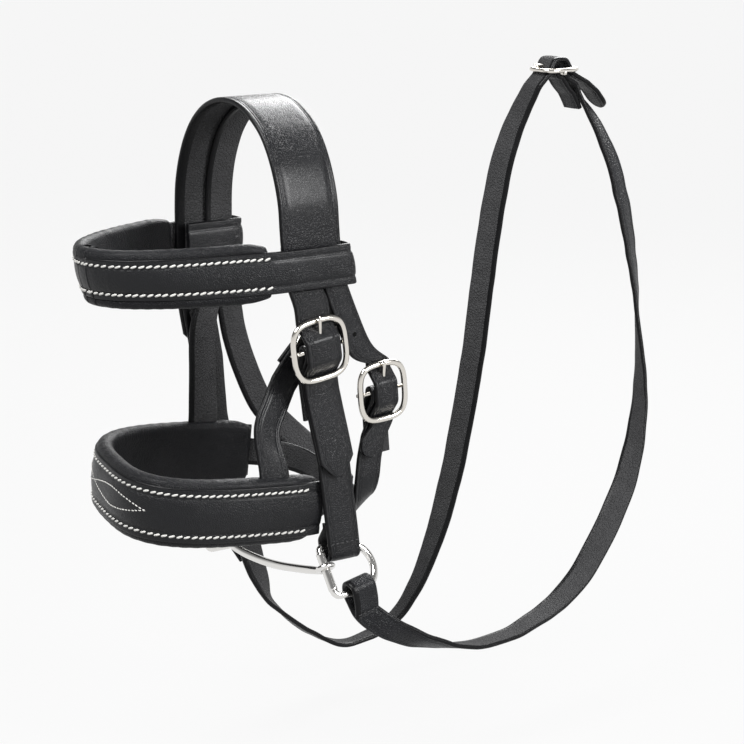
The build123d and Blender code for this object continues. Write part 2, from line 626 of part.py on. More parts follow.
def far_rein():
    fold, level = rein_loop("far")
    level = tuple(level)
    last = fold[-1]
    stations = [tuple(last + Vector(0, 0.4, -1.2)) + level, (-44.0, 31.4, -238.5, -0.5, 0.75, 0.2),
                (-46, 37.6, -249.5, -0.8, 0.5, -0.1), (-48, 51.6, -263, -0.85, 0.38, -0.3),
                (-50, 68.7, -275.0, -0.85, 0.4, -0.3), (-50, 84.9, -281.1, -0.84, 0.5, -0.1),
                (-48, 106.9, -276, -0.85, 0.45, 0.1), (-45, 120.2, -261.8, -0.87, 0.3, 0.3),
                (-41, 129.7, -238.7, -0.9, 0.0, 0.35), (-37, 135.9, -212.6, -0.9, -0.3, 0.2),
                (-30, 141, -170, -0.85, -0.5, 0), (-24, 143.8, -129, -0.85, -0.5, 0),
                (-18, 145, -88, -0.85, -0.5, 0), (-12, 148.7, -44, -0.9, -0.4, 0.1),
                (-7, 155, -18, -1, -0.2, 0.1), (0, 160.6, -0.6, -1, 0, 0)]
    dense = smooth(stations)
    wave = billet_wave(REIN_THICK, REIN_HALF_Y, 5.8)
    bar = rounded(wave + [(-5.2, -18, 5), (-13.5, -31.5, 0)])
    bar = [REIN.at(p.X, p.Y) for p in with_tip(bar, 3)]
    points = fold[:-1] + [Vector(*s[:3]) for s in dense[:-1]] + bar
    sides = [Vector(*level) * -1] * (len(fold) - 1) + [Vector(*s[3:]) for s in dense[:-1]]
    sides += [Vector(-1, 0, 0)] * len(bar)
    sides = [side * -1 if i < len(fold) - 1 else side for i, side in enumerate(sides)]
    strap = ribbon(points, sides, REIN_WIDTH, REIN_THICK)
    return strap - tongue_slots(REIN)[1]


save(crown(), "crownpiece")
save(throatlatch(), "throatlatch")
save(buckle(THROAT, THROAT_HALF_Y, THROAT_HALF_Z), "throatlatch_buckle")
save(tongue(THROAT, THROAT_HALF_Y), "throatlatch_tongue")
for side_name in ("near", "far"):
    save(cheekpiece(side_name), side_name + "_cheekpiece")
    save(bit_ring(side_name), side_name + "_bit_ring")
save(buckle(CHEEK["near"], CHEEK_HALF_Y, CHEEK_HALF_Z), "near_cheek_buckle")
save(tongue(CHEEK["near"], CHEEK_HALF_Y), "near_cheek_tongue")
save(browband_face(), "browband_face")
save(browband_padding(), "browband_padding")
head = save(headstrap(), "headstrap")
save(buckle(HEAD, HEAD_HALF_Y, HEAD_HALF_Z, 1.2, 1.0), "headstrap_buckle")
save(tongue(HEAD, HEAD_HALF_Y, 1.2, 1.0), "headstrap_tongue")
save(near_hanger(), "near_hanger")
save(noseband_face(), "noseband_face")
save(noseband_padding(), "noseband_padding")
save(nose_billet(), "noseband_billet")
save(nose_buckle_strap(), "noseband_buckle_strap")
nose_local = nose_buckle_frame()
save(buckle(nose_local, NOSE_BUCKLE_HALF_Y, NOSE_BUCKLE_HALF_Z, 1.2, 1.0), "noseband_buckle")
save(tongue(nose_local, NOSE_BUCKLE_HALF_Y, 1.2, 1.0), "noseband_tongue")
save(mouthpiece(), "bit_mouthpiece")
save(near_rein(), "near_rein")
save(far_rein(), "far_rein")
save(buckle(REIN, REIN_HALF_Y, REIN_HALF_Z, 1.2, 1.0), "rein_buckle")
save(tongue(REIN, REIN_HALF_Y, 1.2, 1.0), "rein_tongue")
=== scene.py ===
import bpy
import json
from math import acos, ceil, cos, pi, radians, sin, sqrt, tan
from mathutils import Matrix, Vector, noise

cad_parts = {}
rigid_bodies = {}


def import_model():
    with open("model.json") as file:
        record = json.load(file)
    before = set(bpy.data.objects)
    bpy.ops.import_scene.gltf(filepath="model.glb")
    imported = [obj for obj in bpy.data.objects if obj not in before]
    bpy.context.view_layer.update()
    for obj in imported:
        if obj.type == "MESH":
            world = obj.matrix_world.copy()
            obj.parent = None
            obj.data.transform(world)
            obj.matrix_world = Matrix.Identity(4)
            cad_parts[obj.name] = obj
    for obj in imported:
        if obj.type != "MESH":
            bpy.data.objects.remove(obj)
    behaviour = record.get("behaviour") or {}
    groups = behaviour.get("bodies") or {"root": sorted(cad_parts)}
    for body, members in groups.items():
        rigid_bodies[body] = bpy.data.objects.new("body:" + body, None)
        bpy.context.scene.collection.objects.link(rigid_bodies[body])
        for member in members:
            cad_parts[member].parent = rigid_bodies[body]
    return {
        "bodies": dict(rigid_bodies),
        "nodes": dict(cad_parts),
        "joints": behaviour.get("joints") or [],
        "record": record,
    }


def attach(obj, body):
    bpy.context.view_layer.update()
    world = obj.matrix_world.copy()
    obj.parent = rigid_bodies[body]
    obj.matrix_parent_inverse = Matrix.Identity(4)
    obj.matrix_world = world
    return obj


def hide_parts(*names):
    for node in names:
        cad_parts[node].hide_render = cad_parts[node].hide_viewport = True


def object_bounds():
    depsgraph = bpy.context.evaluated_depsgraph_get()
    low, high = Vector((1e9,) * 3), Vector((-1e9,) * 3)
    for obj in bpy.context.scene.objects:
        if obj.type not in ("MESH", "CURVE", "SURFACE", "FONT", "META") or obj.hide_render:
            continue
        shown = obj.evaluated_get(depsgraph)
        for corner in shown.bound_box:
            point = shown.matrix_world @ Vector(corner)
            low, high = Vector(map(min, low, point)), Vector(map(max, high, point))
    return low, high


# Miniature English snaffle bridle: the looks around the CAD frame.
# The paths repeat part.py's, in millimetres in the CAD's own frame, and add_mesh() turns them
# into metres. A station is (x, y, z) and the direction across the strap there; a corner is
# (x, y, radius). "near" is the horse's left side, towards +X.

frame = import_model()
cad_low, cad_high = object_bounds()
MM = 0.001


def V(x=0.0, y=0.0, z=0.0):
    return Vector((x, y, z))


# leather
CROWN_WIDTH = 30.0
CROWN_THICK = 2.4
STRAP_THICK = 2.0
BILLET_WIDTH = 17.5
THROAT_WIDTH = 12.0
THROAT_STRAP_WIDTH = 15.0
CHEEK_WIDTH = 16.5
HEADSTRAP_WIDTH = 14.0
REIN_WIDTH = 12.3
REIN_THICK = 2.2
REIN_WOBBLE = 0.4

# crown arch, measured on the middle of the leather
HALF_SPAN = 44.0
ARCH_LOW_RADIUS = 60.9
ARCH_TOP_RADIUS = 40.5
LEG_TOP = -52.0
LEG_SPLIT = -78.0
ARCH_EASE_FROM = -66.0      # the arch is eased above this height, over ARCH_SOFTEN
ARCH_SOFTEN = 11
NEAR_SLANT = 0.20           # how fast the near leg leans back below LEG_LEAN_FROM
LEG_LEAN_FROM = LEG_TOP - 3.9
CROWN_Y = 2.0
FAR_ROOT = CROWN_Y          # middle of each leg where it splits
NEAR_ROOT = CROWN_Y + NEAR_SLANT * (LEG_LEAN_FROM - LEG_SPLIT)

# browband
BROW_HEIGHT = 18.5
BROW_PAD_HEIGHT = 26.0
BROW_Z = -67.5

# noseband: a rounded oval, measured on the outside of the face strap
NOSE_CENTRE = V(-1.5, -16.2, -170.1)
NOSE_YAW = -8.8
NOSE_PITCH = -3.6
NOSE_ROLL = 5.1
NOSE_HALF_WIDTH = 43.9
NOSE_FRONT = 55.7
NOSE_BACK = 54.5
NOSE_POWER = 2.9
NOSE_HEIGHT = 25.0
NOSE_PAD_HEIGHT = 31.0
NOSE_STRAP_WIDTH = 13.0
NOSE_BUCKLE_ANGLE = 76.0
NOSE_BUCKLE_HALF_Y = 10.0
NOSE_BUCKLE_HALF_Z = 8.9

# hardware
BAR_RADIUS = 0.9
BAR_DEPTH = -0.4
PRONG_RADIUS = 0.8
TONGUE_EYE = 1.55
RING_WIRE = 1.7
RING_HALF = 11.5
RING_STRAIGHT = 13.0
RING_CORNER = 2.6
BARREL_RADIUS = 2.02
MOUTH_RADIUS = 1.9
MOUTH_EYE = 3.45
MOUTH_EYE_WIRE = 1.2


class Frame:
    """Local axes: x out of the leather, y up the strap, z across it."""

    def __init__(self, origin, out, up):
        self.origin = V(*origin)
        self.out = V(*out).normalized()
        up = V(*up)
        up = up - self.out * up.dot(self.out)
        self.up = up.normalized()
        self.across = self.out.cross(self.up)

    def at(self, x, y, z=0.0):
        return self.origin + self.out * x + self.up * y + self.across * z


def rounded(path):
    """Turn corners (x, y, radius) into a line of points with round corners."""
    points = [V(path[0][0], path[0][1])]
    for before, corner, after in zip(path, path[1:], path[2:]):
        here = V(corner[0], corner[1])
        back = (V(before[0], before[1]) - here).normalized()
        ahead = (V(after[0], after[1]) - here).normalized()
        turn = acos(max(-1.0, min(1.0, -back.dot(ahead))))
        if corner[2] < 0.05 or turn < 0.02:
            points.append(here)
            continue
        reach = corner[2] * tan(turn / 2)
        middle = (back + ahead).normalized()
        centre = here + middle * sqrt(reach * reach + corner[2] ** 2)
        start = here + back * reach - centre
        end = here + ahead * reach - centre
        steps = max(2, int(turn / radians(20 if corner[2] < 12 else 8)))
        for k in range(steps + 1):
            mix = turn * k / steps
            arm = start
            if turn < 3.1:
                arm = start * (sin(turn - mix) / sin(turn)) + end * (sin(mix) / sin(turn))
            points.append(centre + arm)
    points.append(V(path[-1][0], path[-1][1]))
    kept = [points[0]]
    for point in points[1:]:
        if (point - kept[-1]).length > 0.3:
            kept.append(point)
    return kept


def smooth(stations, steps=4):
    """Catmull-Rom line through stations of any number of values."""
    out = []
    last = len(stations) - 1
    for i in range(last):
        p0 = stations[max(i - 1, 0)]
        p1 = stations[i]
        p2 = stations[i + 1]
        p3 = stations[min(i + 2, last)]
        for k in range(steps):
            t = k / steps
            out.append([0.5 * (2 * b + (c - a) * t + (2 * a - 5 * b + 4 * c - d) * t * t
                               + (3 * b - a - 3 * c + d) * t ** 3)
                        for a, b, c, d in zip(p0, p1, p2, p3)])
    out.append(list(stations[last]))
    return out


def resample(points, step):
    """The same line with points a step apart."""
    out = [points[0].copy()]
    left = step
    for a, b in zip(points, points[1:]):
        span = (b - a).length
        if span < 1e-6:
            continue
        at = left
        while at <= span:
            out.append(a.lerp(b, at / span))
            at += step
        left = at - span
    out.append(points[-1].copy())
    return out


def ribbon(points, sides, width, thick, tip=0.0):
    """Everything strap() needs to know about a strap's run."""
    return {"points": points, "sides": sides, "width": width, "thick": thick, "tip": tip}


def with_tip(points, tip):
    """Add a point where the taper of a pointed end starts."""
    back = points[-2] - points[-1]
    if tip and back.length > tip + 0.5:
        points.insert(len(points) - 1, points[-1] + back.normalized() * tip)
    return points


def flat_strap(frame, path, width, thick, tip=0.0):
    """Strap whose middle line lies in the frame's x-y plane."""
    points = [frame.at(p.x, p.y) for p in with_tip(rounded(path), tip)]
    return ribbon(points, [frame.across] * len(points), width, thick, tip)


def billet_wave(thick, half_y, over=4.1):
    """Corners of a billet under one end bar, over the middle bar, under the other."""
    under = -0.35 - thick / 2
    edge = half_y - 1.5 if half_y > 12 else half_y - 2.0
    return [(under, edge, 4), (over, edge * 0.42, 3), (over, -edge * 0.42, 3), (under, -edge, 4)]


# frames of the straps

CHEEK = {
    "near": Frame((HALF_SPAN + 1.6, 5.2, -103.5), (1, 0, 0), (0, -0.135, 0.991)),
    "far": Frame((-HALF_SPAN - 1.6, -2.0, -103.5), (-1, 0, 0), (0, -0.168, 0.986)),
}
CHEEK_HALF_Y = 13.0
CHEEK_HALF_Z = 13.2
CHEEK_BOW = 4.9
FAR_LAP_TOP = 14.0
FAR_LAP_END = -14.0
FAR_HANG_ANGLE = 178.0
RING_AT = (-3.3, -91.6)
RING_LEAD = 11.0
RING_TILT = {"near": 36.0, "far": 8.0}

THROAT = Frame((HALF_SPAN + 1.6, 38.2, -126.5), (1, 0, 0), (0, -0.08, 1))
THROAT_HALF_Y = 12.5
THROAT_HALF_Z = 11.8

HEAD = Frame((32.8, 12.0, -105.0), (1, 0, 0), (0, 0.70, 0.714))
HEAD_HALF_Y = 10.5
HEAD_HALF_Z = 9.0

REIN = Frame((0, 171.2, 3.1), (0, 0, 1), (0, -1, 0))
REIN_HALF_Y = 9.8
REIN_HALF_Z = 8.2
REIN_LOOP_TURN = {"near": 12.0, "far": 32.0}
REIN_LOOP_BACK = {"near": 2.5, "far": 0.0}


def nose_frame():
    turn = (Matrix.Rotation(radians(NOSE_YAW), 3, "Z") @ Matrix.Rotation(radians(NOSE_PITCH), 3, "X")
            @ Matrix.Rotation(radians(NOSE_ROLL), 3, "Y"))
    return Frame(NOSE_CENTRE, turn @ V(1, 0, 0), turn @ V(0, 1, 0))


NOSE = nose_frame()


def nose_curve(angle, inset):
    """Point on the noseband's oval, moved inwards by inset, in its own plane."""
    def raw(a):
        c = cos(radians(a))
        s = sin(radians(a))
        depth = NOSE_FRONT if s < 0 else NOSE_BACK
        x = NOSE_HALF_WIDTH * abs(c) ** (2 / NOSE_POWER) * (1 if c > 0 else -1)
        y = depth * abs(s) ** (2 / NOSE_POWER) * (1 if s > 0 else -1)
        return V(x, y)
    here = raw(angle)
    ahead = raw(angle + 1.0) - raw(angle - 1.0)
    normal = V(ahead.y, -ahead.x).normalized()
    return here - normal * inset, normal


def nose_path(start, end, inset, steps):
    path = []
    for k in range(steps + 1):
        point, normal = nose_curve(start + (end - start) * k / steps, inset)
        path.append((point.x, point.y, 0))
    return path


def nose_hang(angle, heights):
    """Stations of a strap that runs down between the noseband's face and padding."""
    stations = []
    for z in heights:
        spot, normal = nose_curve(angle, 3.5 if z < 10 else 4.4)
        side = NOSE.out * -normal.y + NOSE.up * normal.x
        if side.y < 0:
            side = side * -1
        stations.append(tuple(NOSE.at(spot.x, spot.y, z)) + tuple(side))
    return stations


def nose_buckle_frame():
    point, normal = nose_curve(NOSE_BUCKLE_ANGLE, 2.2)
    out = NOSE.out * normal.x + NOSE.up * normal.y
    up = NOSE.across.cross(out)
    return Frame(NOSE.at(point.x, point.y), out, up)


# leather

def crown():
    top = CROWN_THICK / 2
    low = ARCH_LOW_RADIUS * tan(radians(17.5))
    high = ARCH_TOP_RADIUS * tan(radians(27.5))
    shoulder = top - (low + high) * sin(radians(55))
    path = [(HALF_SPAN, LEG_SPLIT + 0.5, 0), (HALF_SPAN, shoulder, ARCH_LOW_RADIUS),
            (high, top, ARCH_TOP_RADIUS), (-high, top, ARCH_TOP_RADIUS),
            (-HALF_SPAN, shoulder, ARCH_LOW_RADIUS), (-HALF_SPAN, LEG_SPLIT + 0.5, 0)]
    line = resample([V(p.x, 0, p.y) for p in rounded(path)], 2.0)
    points = []
    for p in line:
        drop = max(0.0, LEG_LEAN_FROM - p.z) if p.x > 0 else 0.0
        points.append(V(p.x, CROWN_Y + NEAR_SLANT * drop, p.z))
    return ribbon(points, [V(0, 1, 0)] * len(points), CROWN_WIDTH, CROWN_THICK)


def cheek_billet(frame, name, centre):
    side = 1 if name == "near" else -1
    wave = billet_wave(CROWN_THICK, CHEEK_HALF_Y)
    root = centre - CROWN_WIDTH / 2 + BILLET_WIDTH / 2
    start = frame.at(wave[0][0], 20)
    stations = [(side * HALF_SPAN, root - 0.4, LEG_SPLIT + 1.5, 0, 1, 0),
                (side * HALF_SPAN, root, LEG_SPLIT, 0, 1, 0),
                (start.x, start.y, start.z, 0, frame.up.z, -frame.up.y)]
    buckled = [(wave[0][0], 20, 0)] + wave + [(wave[0][0], -20, 12), (wave[0][0] + CHEEK_BOW, -50, 12),
                                              (wave[0][0] + CHEEK_BOW, -58, 0)]
    sewn = [(wave[0][0], 20, 0), (wave[0][0], FAR_LAP_END, 0)]
    flat = [frame.at(p.x, p.y) for p in with_tip(rounded(buckled if name == "near" else sewn), 8)]
    points = [V(*s[:3]) for s in stations[:2]] + flat
    sides = [V(0, 1, 0)] * 2 + [V(0, frame.up.z, -frame.up.y)] * len(flat)
    return ribbon(points, sides, BILLET_WIDTH, CROWN_THICK, 8)


def throat_billet():
    frame = THROAT
    wave = billet_wave(CROWN_THICK, THROAT_HALF_Y)
    root = NEAR_ROOT + CROWN_WIDTH / 2 - THROAT_WIDTH / 2
    flat = rounded([(wave[0][0], 13.5, 0)] + wave + [(wave[0][0], -15, 0)])
    flat = [frame.at(p.x, p.y) for p in flat]
    points = [V(HALF_SPAN, root - 0.4, LEG_SPLIT + 1.5), V(HALF_SPAN, root, LEG_SPLIT),
              V(HALF_SPAN, root + 5.6, LEG_SPLIT - 14), V(HALF_SPAN, root + 13, LEG_SPLIT - 29)]
    points += flat + [V(HALF_SPAN + 0.5, 33.6, -150), V(HALF_SPAN + 0.7, 32.2, -156)]
    sides = [V(0, 1, 0), V(0, 1, 0.1), V(0, 0.95, 0.35), V(0, 0.95, 0.35)]
    sides += [frame.across * -1] * len(flat) + [V(0, 1, -0.2)] * 2
    return ribbon(points, sides, THROAT_WIDTH, CROWN_THICK, 7)


def bar_fold(tail_end, tail_depth, layer=-4.0, reach=11.4):
    """Strap end folded round the middle bar: inner tail, turn, then the outer layer."""
    turn = 2.25
    return [(tail_depth, tail_end, 0), (tail_depth, 3.4 - reach, 3), (BAR_DEPTH - turn, -0.6, 1.2),
            (BAR_DEPTH - turn, turn, turn * 0.99), (BAR_DEPTH + turn, turn, turn * 0.99),
            (BAR_DEPTH + turn, -2.6 if reach > 10 else -1.0, 2), (layer, -reach, 3)]


def cheekpiece(name):
    frame = CHEEK[name]
    x, y = RING_AT
    low = y - 6.1
    face = x + 4.2
    top = bar_fold(-32, -6.3) if name == "near" else [(-4.0, FAR_LAP_TOP, 0)]
    path = top + [(-4.0, -20, 12), (face, -50, 12), (face, low, 3.7), (x - 3.6, low, 3.7),
                  (x - 3.6, y + 2.5, 3), (face - 2.3, y + 9, 2), (face - 2.3, y + 11.5, 0)]
    line = rounded(path)
    level = V(0, 1 if frame.across.y > 0 else -1, 0)
    sides = [level if p.y < -72 else frame.across for p in line]
    return ribbon([frame.at(p.x, p.y) for p in line], sides, CHEEK_WIDTH, STRAP_THICK)


def throatlatch():
    frame = THROAT
    fold = rounded(bar_fold(-30, -6.3, reach=10.6) + [(-4.0, -14, 0)])
    fold = [frame.at(p.x, p.y) for p in fold]
    sides = [frame.across * -1] * len(fold)
    stations = [(42.0, 36.4, -147.5, 0, 1, -0.2), (41.8, 34.5, -157, 0, 1, -0.1),
                (41.5, 33.4, -167, 0, 1, 0), (38, 34.0, -176.5, -0.1, 0.9, 0.35),
                (27, 38.5, -182.5, -0.2, 0.8, 0.6), (10, 43.5, -183.5, -0.1, 0.8, 0.6),
                (-8, 45.0, -178, 0, 0.8, 0.6), (-26, 45.5, -169, 0.2, 0.75, 0.6),
                (-39, 39.5, -159, 0.2, 0.8, 0.5), (-43, 31, -148, 0, 0.9, 0.42),
                (-42.9, 22.5, -130, 0, 0.9, 0.42), (-42.6, 16.6, -113, 0, 0.95, 0.3),
                (-42.6, 14.4, -101, 0, 1, 0.1), (-43.2, 12.6, -89, 0, 1, 0.1),
                (-44, 11.4, LEG_SPLIT - 0.6, 0, 1, 0)]
    dense = smooth(stations)
    points = fold + [V(*s[:3]) for s in dense]
    sides += [V(*s[3:]) for s in dense]
    return ribbon(points, sides, THROAT_STRAP_WIDTH - 2, STRAP_THICK)


def browband_line():
    """Middle line of the browband, from the near loop round the front to the far loop."""
    half = [(46.9, -9, 3), (45.6, -17, 20), (41.5, -31, 40), (36, -47, 50), (29, -62, 40),
            (19, -75, 30), (8, -81.6, 30)]
    return half + [(0, -82.8, 30)] + [(-x, y, r) for x, y, r in reversed(half)]


def brow_line(line, depth=0.0):
    """Points and upright directions round the browband, moved inwards by depth."""
    points = []
    sides = []
    for i, p in enumerate(line):
        ahead = line[min(i + 1, len(line) - 1)] - line[max(i - 1, 0)]
        inward = V(ahead.y, -ahead.x).normalized()
        share = max(0.0, min(1.0, (p.x - 34) / 10)) * max(0.0, min(1.0, (p.y + 30) / 20))
        drop = -1.6 * max(0.0, -p.y) / 80
        flare = 0.2 * max(0.0, -p.y - 30) / 50
        sides.append(V(-inward.x * flare, -inward.y * flare - NEAR_SLANT * share, 1))
        points.append(V(p.x, p.y, BROW_Z + drop) + inward * depth)
    return points, sides


def browband_face():
    near = [(38.7, -8, 0), (38.7, 22.4, 2), (46.9, 22.4, 2)]
    far = [(-46.9, 18.5, 2), (-38.2, 18.5, 2), (-38.2, -10, 0)]
    points, sides = brow_line(rounded(near + browband_line() + far))
    return ribbon(points, sides, BROW_HEIGHT, STRAP_THICK)


def browband_padding():
    line = [p for p in rounded(browband_line()) if p.y < -17.5]
    points, sides = brow_line(line, 3.5)
    return ribbon(points, sides, BROW_PAD_HEIGHT, 4.4)


def headstrap():
    arch = Frame((0, 8.5, 0), (1, 0, 0), (0, 0, 1))
    gap = CROWN_THICK / 2 + 0.25 + STRAP_THICK / 2
    top = CROWN_THICK / 2 - gap
    low = (ARCH_LOW_RADIUS - gap) * tan(radians(17.5))
    high = (ARCH_TOP_RADIUS - gap) * tan(radians(27.5))
    shoulder = top - (low + high) * sin(radians(55))
    x = HALF_SPAN - gap
    path = [(x, LEG_TOP, 0), (x, shoulder, ARCH_LOW_RADIUS - gap), (high, top, ARCH_TOP_RADIUS - gap),
            (-high, top, ARCH_TOP_RADIUS - gap), (-x, shoulder, ARCH_LOW_RADIUS - gap), (-x, LEG_TOP, 0)]
    middle = [arch.at(p.x, p.y) for p in rounded(path)]
    wave = billet_wave(STRAP_THICK, HEAD_HALF_Y, 4.3)
    flat = rounded([(wave[0][0], 12.5, 0)] + wave + [(wave[0][0], -14.5, 0)])
    flat = [HEAD.at(p.x, p.y) for p in with_tip(flat, 6)]
    near = smooth([(x, 8.5, LEG_TOP - 2, 0, 1, 0), (x - 0.1, 10.4, -66, 0, 1, 0.1),
                   (x - 0.7, 14.0, -78, 0, 0.98, 0.1), (37.8, 18.0, -86, 0, 0.95, -0.1),
                   (32.6, 21.6, -93, 0, 0.8, -0.5)])
    far = smooth([(-x, 8.5, LEG_TOP - 2, 0, 1, 0), (-x + 0.2, 8.2, -66, 0, 1, 0),
                  (-x + 0.8, 7.6, -76, 0, 1, 0), (-37.6, 1.8, -91, 0, 1, 0.2),
                  (-36.8, -3.4, -106, 0, 1, 0.08), (-37.0, -4.2, -130, 0, 1, 0)]
                 + nose_hang(FAR_HANG_ANGLE, (17, 6, -6)))
    points = [V(*s[:3]) for s in reversed(far)] + list(reversed(middle))
    points += [V(*s[:3]) for s in near] + flat
    sides = [V(*s[3:]) for s in reversed(far)] + [V(0, 1, 0)] * len(middle)
    sides += [V(*s[3:]) for s in near] + [HEAD.across * -1] * len(flat)
    return ribbon(points, sides, HEADSTRAP_WIDTH, STRAP_THICK, 6)


def near_hanger():
    fold = rounded(bar_fold(-15, -6.6, layer=-4.2, reach=HEAD_HALF_Y - 2.6) + [(-4.0, -12, 0)])
    fold = [HEAD.at(p.x, p.y) for p in fold]
    stations = [(29.6, -2.6, -120.5, 0, 0.8, -0.6), (33.0, -9.4, -129, 0, 0.84, -0.5),
                (35.8, -15.4, -140, 0, 0.92, -0.36)] + nose_hang(3, (17, 6, -6))
    dense = smooth(stations)
    points = fold + [V(*s[:3]) for s in dense]
    sides = [HEAD.across * -1] * len(fold) + [V(*s[3:]) for s in dense]
    return ribbon(points, sides, HEADSTRAP_WIDTH, STRAP_THICK)


def noseband_face():
    return flat_strap(NOSE, nose_path(26, -206, 1.0, 58), NOSE_HEIGHT, 2.0)


def noseband_padding():
    return flat_strap(NOSE, nose_path(25, -205, 5.2, 58), NOSE_PAD_HEIGHT, 6.0)


def at_nose_buckle(corners):
    """Corners given round the noseband's buckle, in the noseband's plane."""
    point, normal = nose_curve(NOSE_BUCKLE_ANGLE, 2.2)
    tangent = V(-normal.y, normal.x)
    spots = [(point + normal * x + tangent * y, r) for x, y, r in corners]
    return [(spot.x, spot.y, r) for spot, r in spots]


def nose_billet():
    wave = billet_wave(STRAP_THICK, NOSE_BUCKLE_HALF_Y, 4.3)
    local = [(wave[0][0], 12.5, 0)] + wave + [(wave[0][0] - 0.6, -15, 4), (wave[0][0] - 2.4, -24, 0)]
    path = nose_path(160, 94, 3.4, 17) + at_nose_buckle(local)
    return flat_strap(NOSE, path, NOSE_STRAP_WIDTH, STRAP_THICK, 5)


def nose_buckle_strap():
    fold = bar_fold(-9, -7.0, layer=-4.2, reach=NOSE_BUCKLE_HALF_Y - 2.4)
    path = at_nose_buckle(fold + [(-4.8, -12, 3)])
    for angle, inset in ((45, 6.2), (36, 5.2), (29, 4.0)):
        spot = nose_curve(angle, inset)[0]
        path.append((spot.x, spot.y, 3))
    path += nose_path(24, 12, 3.4, 3)
    return flat_strap(NOSE, path, NOSE_STRAP_WIDTH, STRAP_THICK)


# bit

def ring_frame(name):
    side = 1 if name == "near" else -1
    loop = CHEEK[name].at(*RING_AT)
    tilt = radians(RING_TILT[name])
    down = V(side * sin(tilt), 0, -cos(tilt))
    origin = loop + down * RING_HALF + V(0, -RING_LEAD, 0)
    return Frame(origin, (0, 1, 0), down)


# reins

def rein_loop(name):
    """Fold round the bit ring: short tail, turn over the wire, then the rein's first run."""
    frame = ring_frame(name)
    turn = radians(REIN_LOOP_TURN[name])
    side = 1 if name == "near" else -1
    reach = RING_STRAIGHT + RING_HALF * sin(turn) - REIN_LOOP_BACK[name]
    centre = frame.at(reach, RING_HALF * cos(turn))
    up = V(0, -sin(turn), cos(turn))
    local = Frame(centre, (side, 0, 0), up)
    gap = RING_WIRE + 1.2 + REIN_THICK / 2
    top = gap + 1.2
    path = [(gap - 0.9, -10.5, 0), (gap, -4, 3), (gap, top, gap * 0.99), (-gap, top, gap * 0.99),
            (-gap, -2, 3), (-1.8, -6.5, 2.5)]
    return [local.at(p.x, p.y) for p in rounded(path)], local.across * (1 if local.across.y > 0 else -1)


def rein(fold, level, stations, bar, across, tip=0.0):
    """The fold round the bit ring, the hanging run and the end at the buckle, as one strap."""
    dense = smooth(stations)[:-1]
    points = fold[:-1] + [V(*s[:3]) for s in dense] + [REIN.at(p.x, p.y) for p in bar]
    sides = [level] * (len(fold) - 1) + [V(*s[3:]) for s in dense] + [across] * len(bar)
    return ribbon(points, sides, REIN_WIDTH, REIN_THICK, tip)


def near_rein():
    fold, level = rein_loop("near")
    stations = [tuple(fold[-1] + V(0, 0.6, -1.0)) + tuple(level), (54.6, 24.4, -224.2, 0.1, 0.88, 0.42),
                (57, 31.5, -230.5, 0.3, 0.74, 0.56), (58.6, 41, -236.8, 0.5, 0.6, 0.55),
                (59, 56, -243.6, 0.8, 0.35, 0.4),
                (58, 79.6, -249.8, 1, 0, 0.1), (55, 111.3, -248.9, 1, 0, 0),
                (50, 145.5, -237.1, 0.95, 0.2, -0.2), (43, 172.7, -214.7, 0.85, 0.4, -0.35),
                (37, 191.8, -189.1, 0.92, 0.25, -0.2), (30, 204.6, -157.1, 0.98, -0.15, 0),
                (24, 207.5, -123.4, 0.8, -0.56, 0), (18, 207.7, -89.5, 0.55, -0.8, 0),
                (13, 204.7, -60.3, 0.4, -0.9, -0.1), (9, 198.4, -35.8, 0.5, -0.8, -0.3),
                (4, 189.2, -16.5, 0.75, -0.5, -0.35), (0, 181.6, -4.6, 1, -0.1, -0.1)]
    bar = rounded([(-6.5, -9.5, 0), (-4.0, -5.0, 3), (BAR_DEPTH + 2.3, -1.5, 2),
                   (BAR_DEPTH + 2.3, 2.3, 2.27), (BAR_DEPTH - 2.3, 2.3, 2.27),
                   (BAR_DEPTH - 2.3, -1.0, 1.6), (-6.9, -4.4, 3), (-10.8, -8.0, 4), (-18, -12.0, 0)])
    return rein(fold, level, stations, bar, V(1, 0, 0))


def far_rein():
    fold, level = rein_loop("far")
    stations = [tuple(fold[-1] + V(0, 0.4, -1.2)) + tuple(level), (-44.0, 31.4, -238.5, -0.5, 0.75, 0.2),
                (-46, 37.6, -249.5, -0.8, 0.5, -0.1), (-48, 51.6, -263, -0.85, 0.38, -0.3),
                (-50, 68.7, -275.0, -0.85, 0.4, -0.3), (-50, 84.9, -281.1, -0.84, 0.5, -0.1),
                (-48, 106.9, -276, -0.85, 0.45, 0.1), (-45, 120.2, -261.8, -0.87, 0.3, 0.3),
                (-41, 129.7, -238.7, -0.9, 0.0, 0.35), (-37, 135.9, -212.6, -0.9, -0.3, 0.2),
                (-30, 141, -170, -0.85, -0.5, 0), (-24, 143.8, -129, -0.85, -0.5, 0),
                (-18, 145, -88, -0.85, -0.5, 0), (-12, 148.7, -44, -0.9, -0.4, 0.1),
                (-7, 155, -18, -1, -0.2, 0.1), (0, 160.6, -0.6, -1, 0, 0)]
    wave = billet_wave(REIN_THICK, REIN_HALF_Y, 5.8)
    bar = rounded(wave + [(-5.6, -16.5, 5), (-10.5, -23, 10), (-18.6, -30.2, 0)])
    return rein(fold, level, stations, with_tip(bar, 6), V(-1, 0, 0), 6)


# meshes

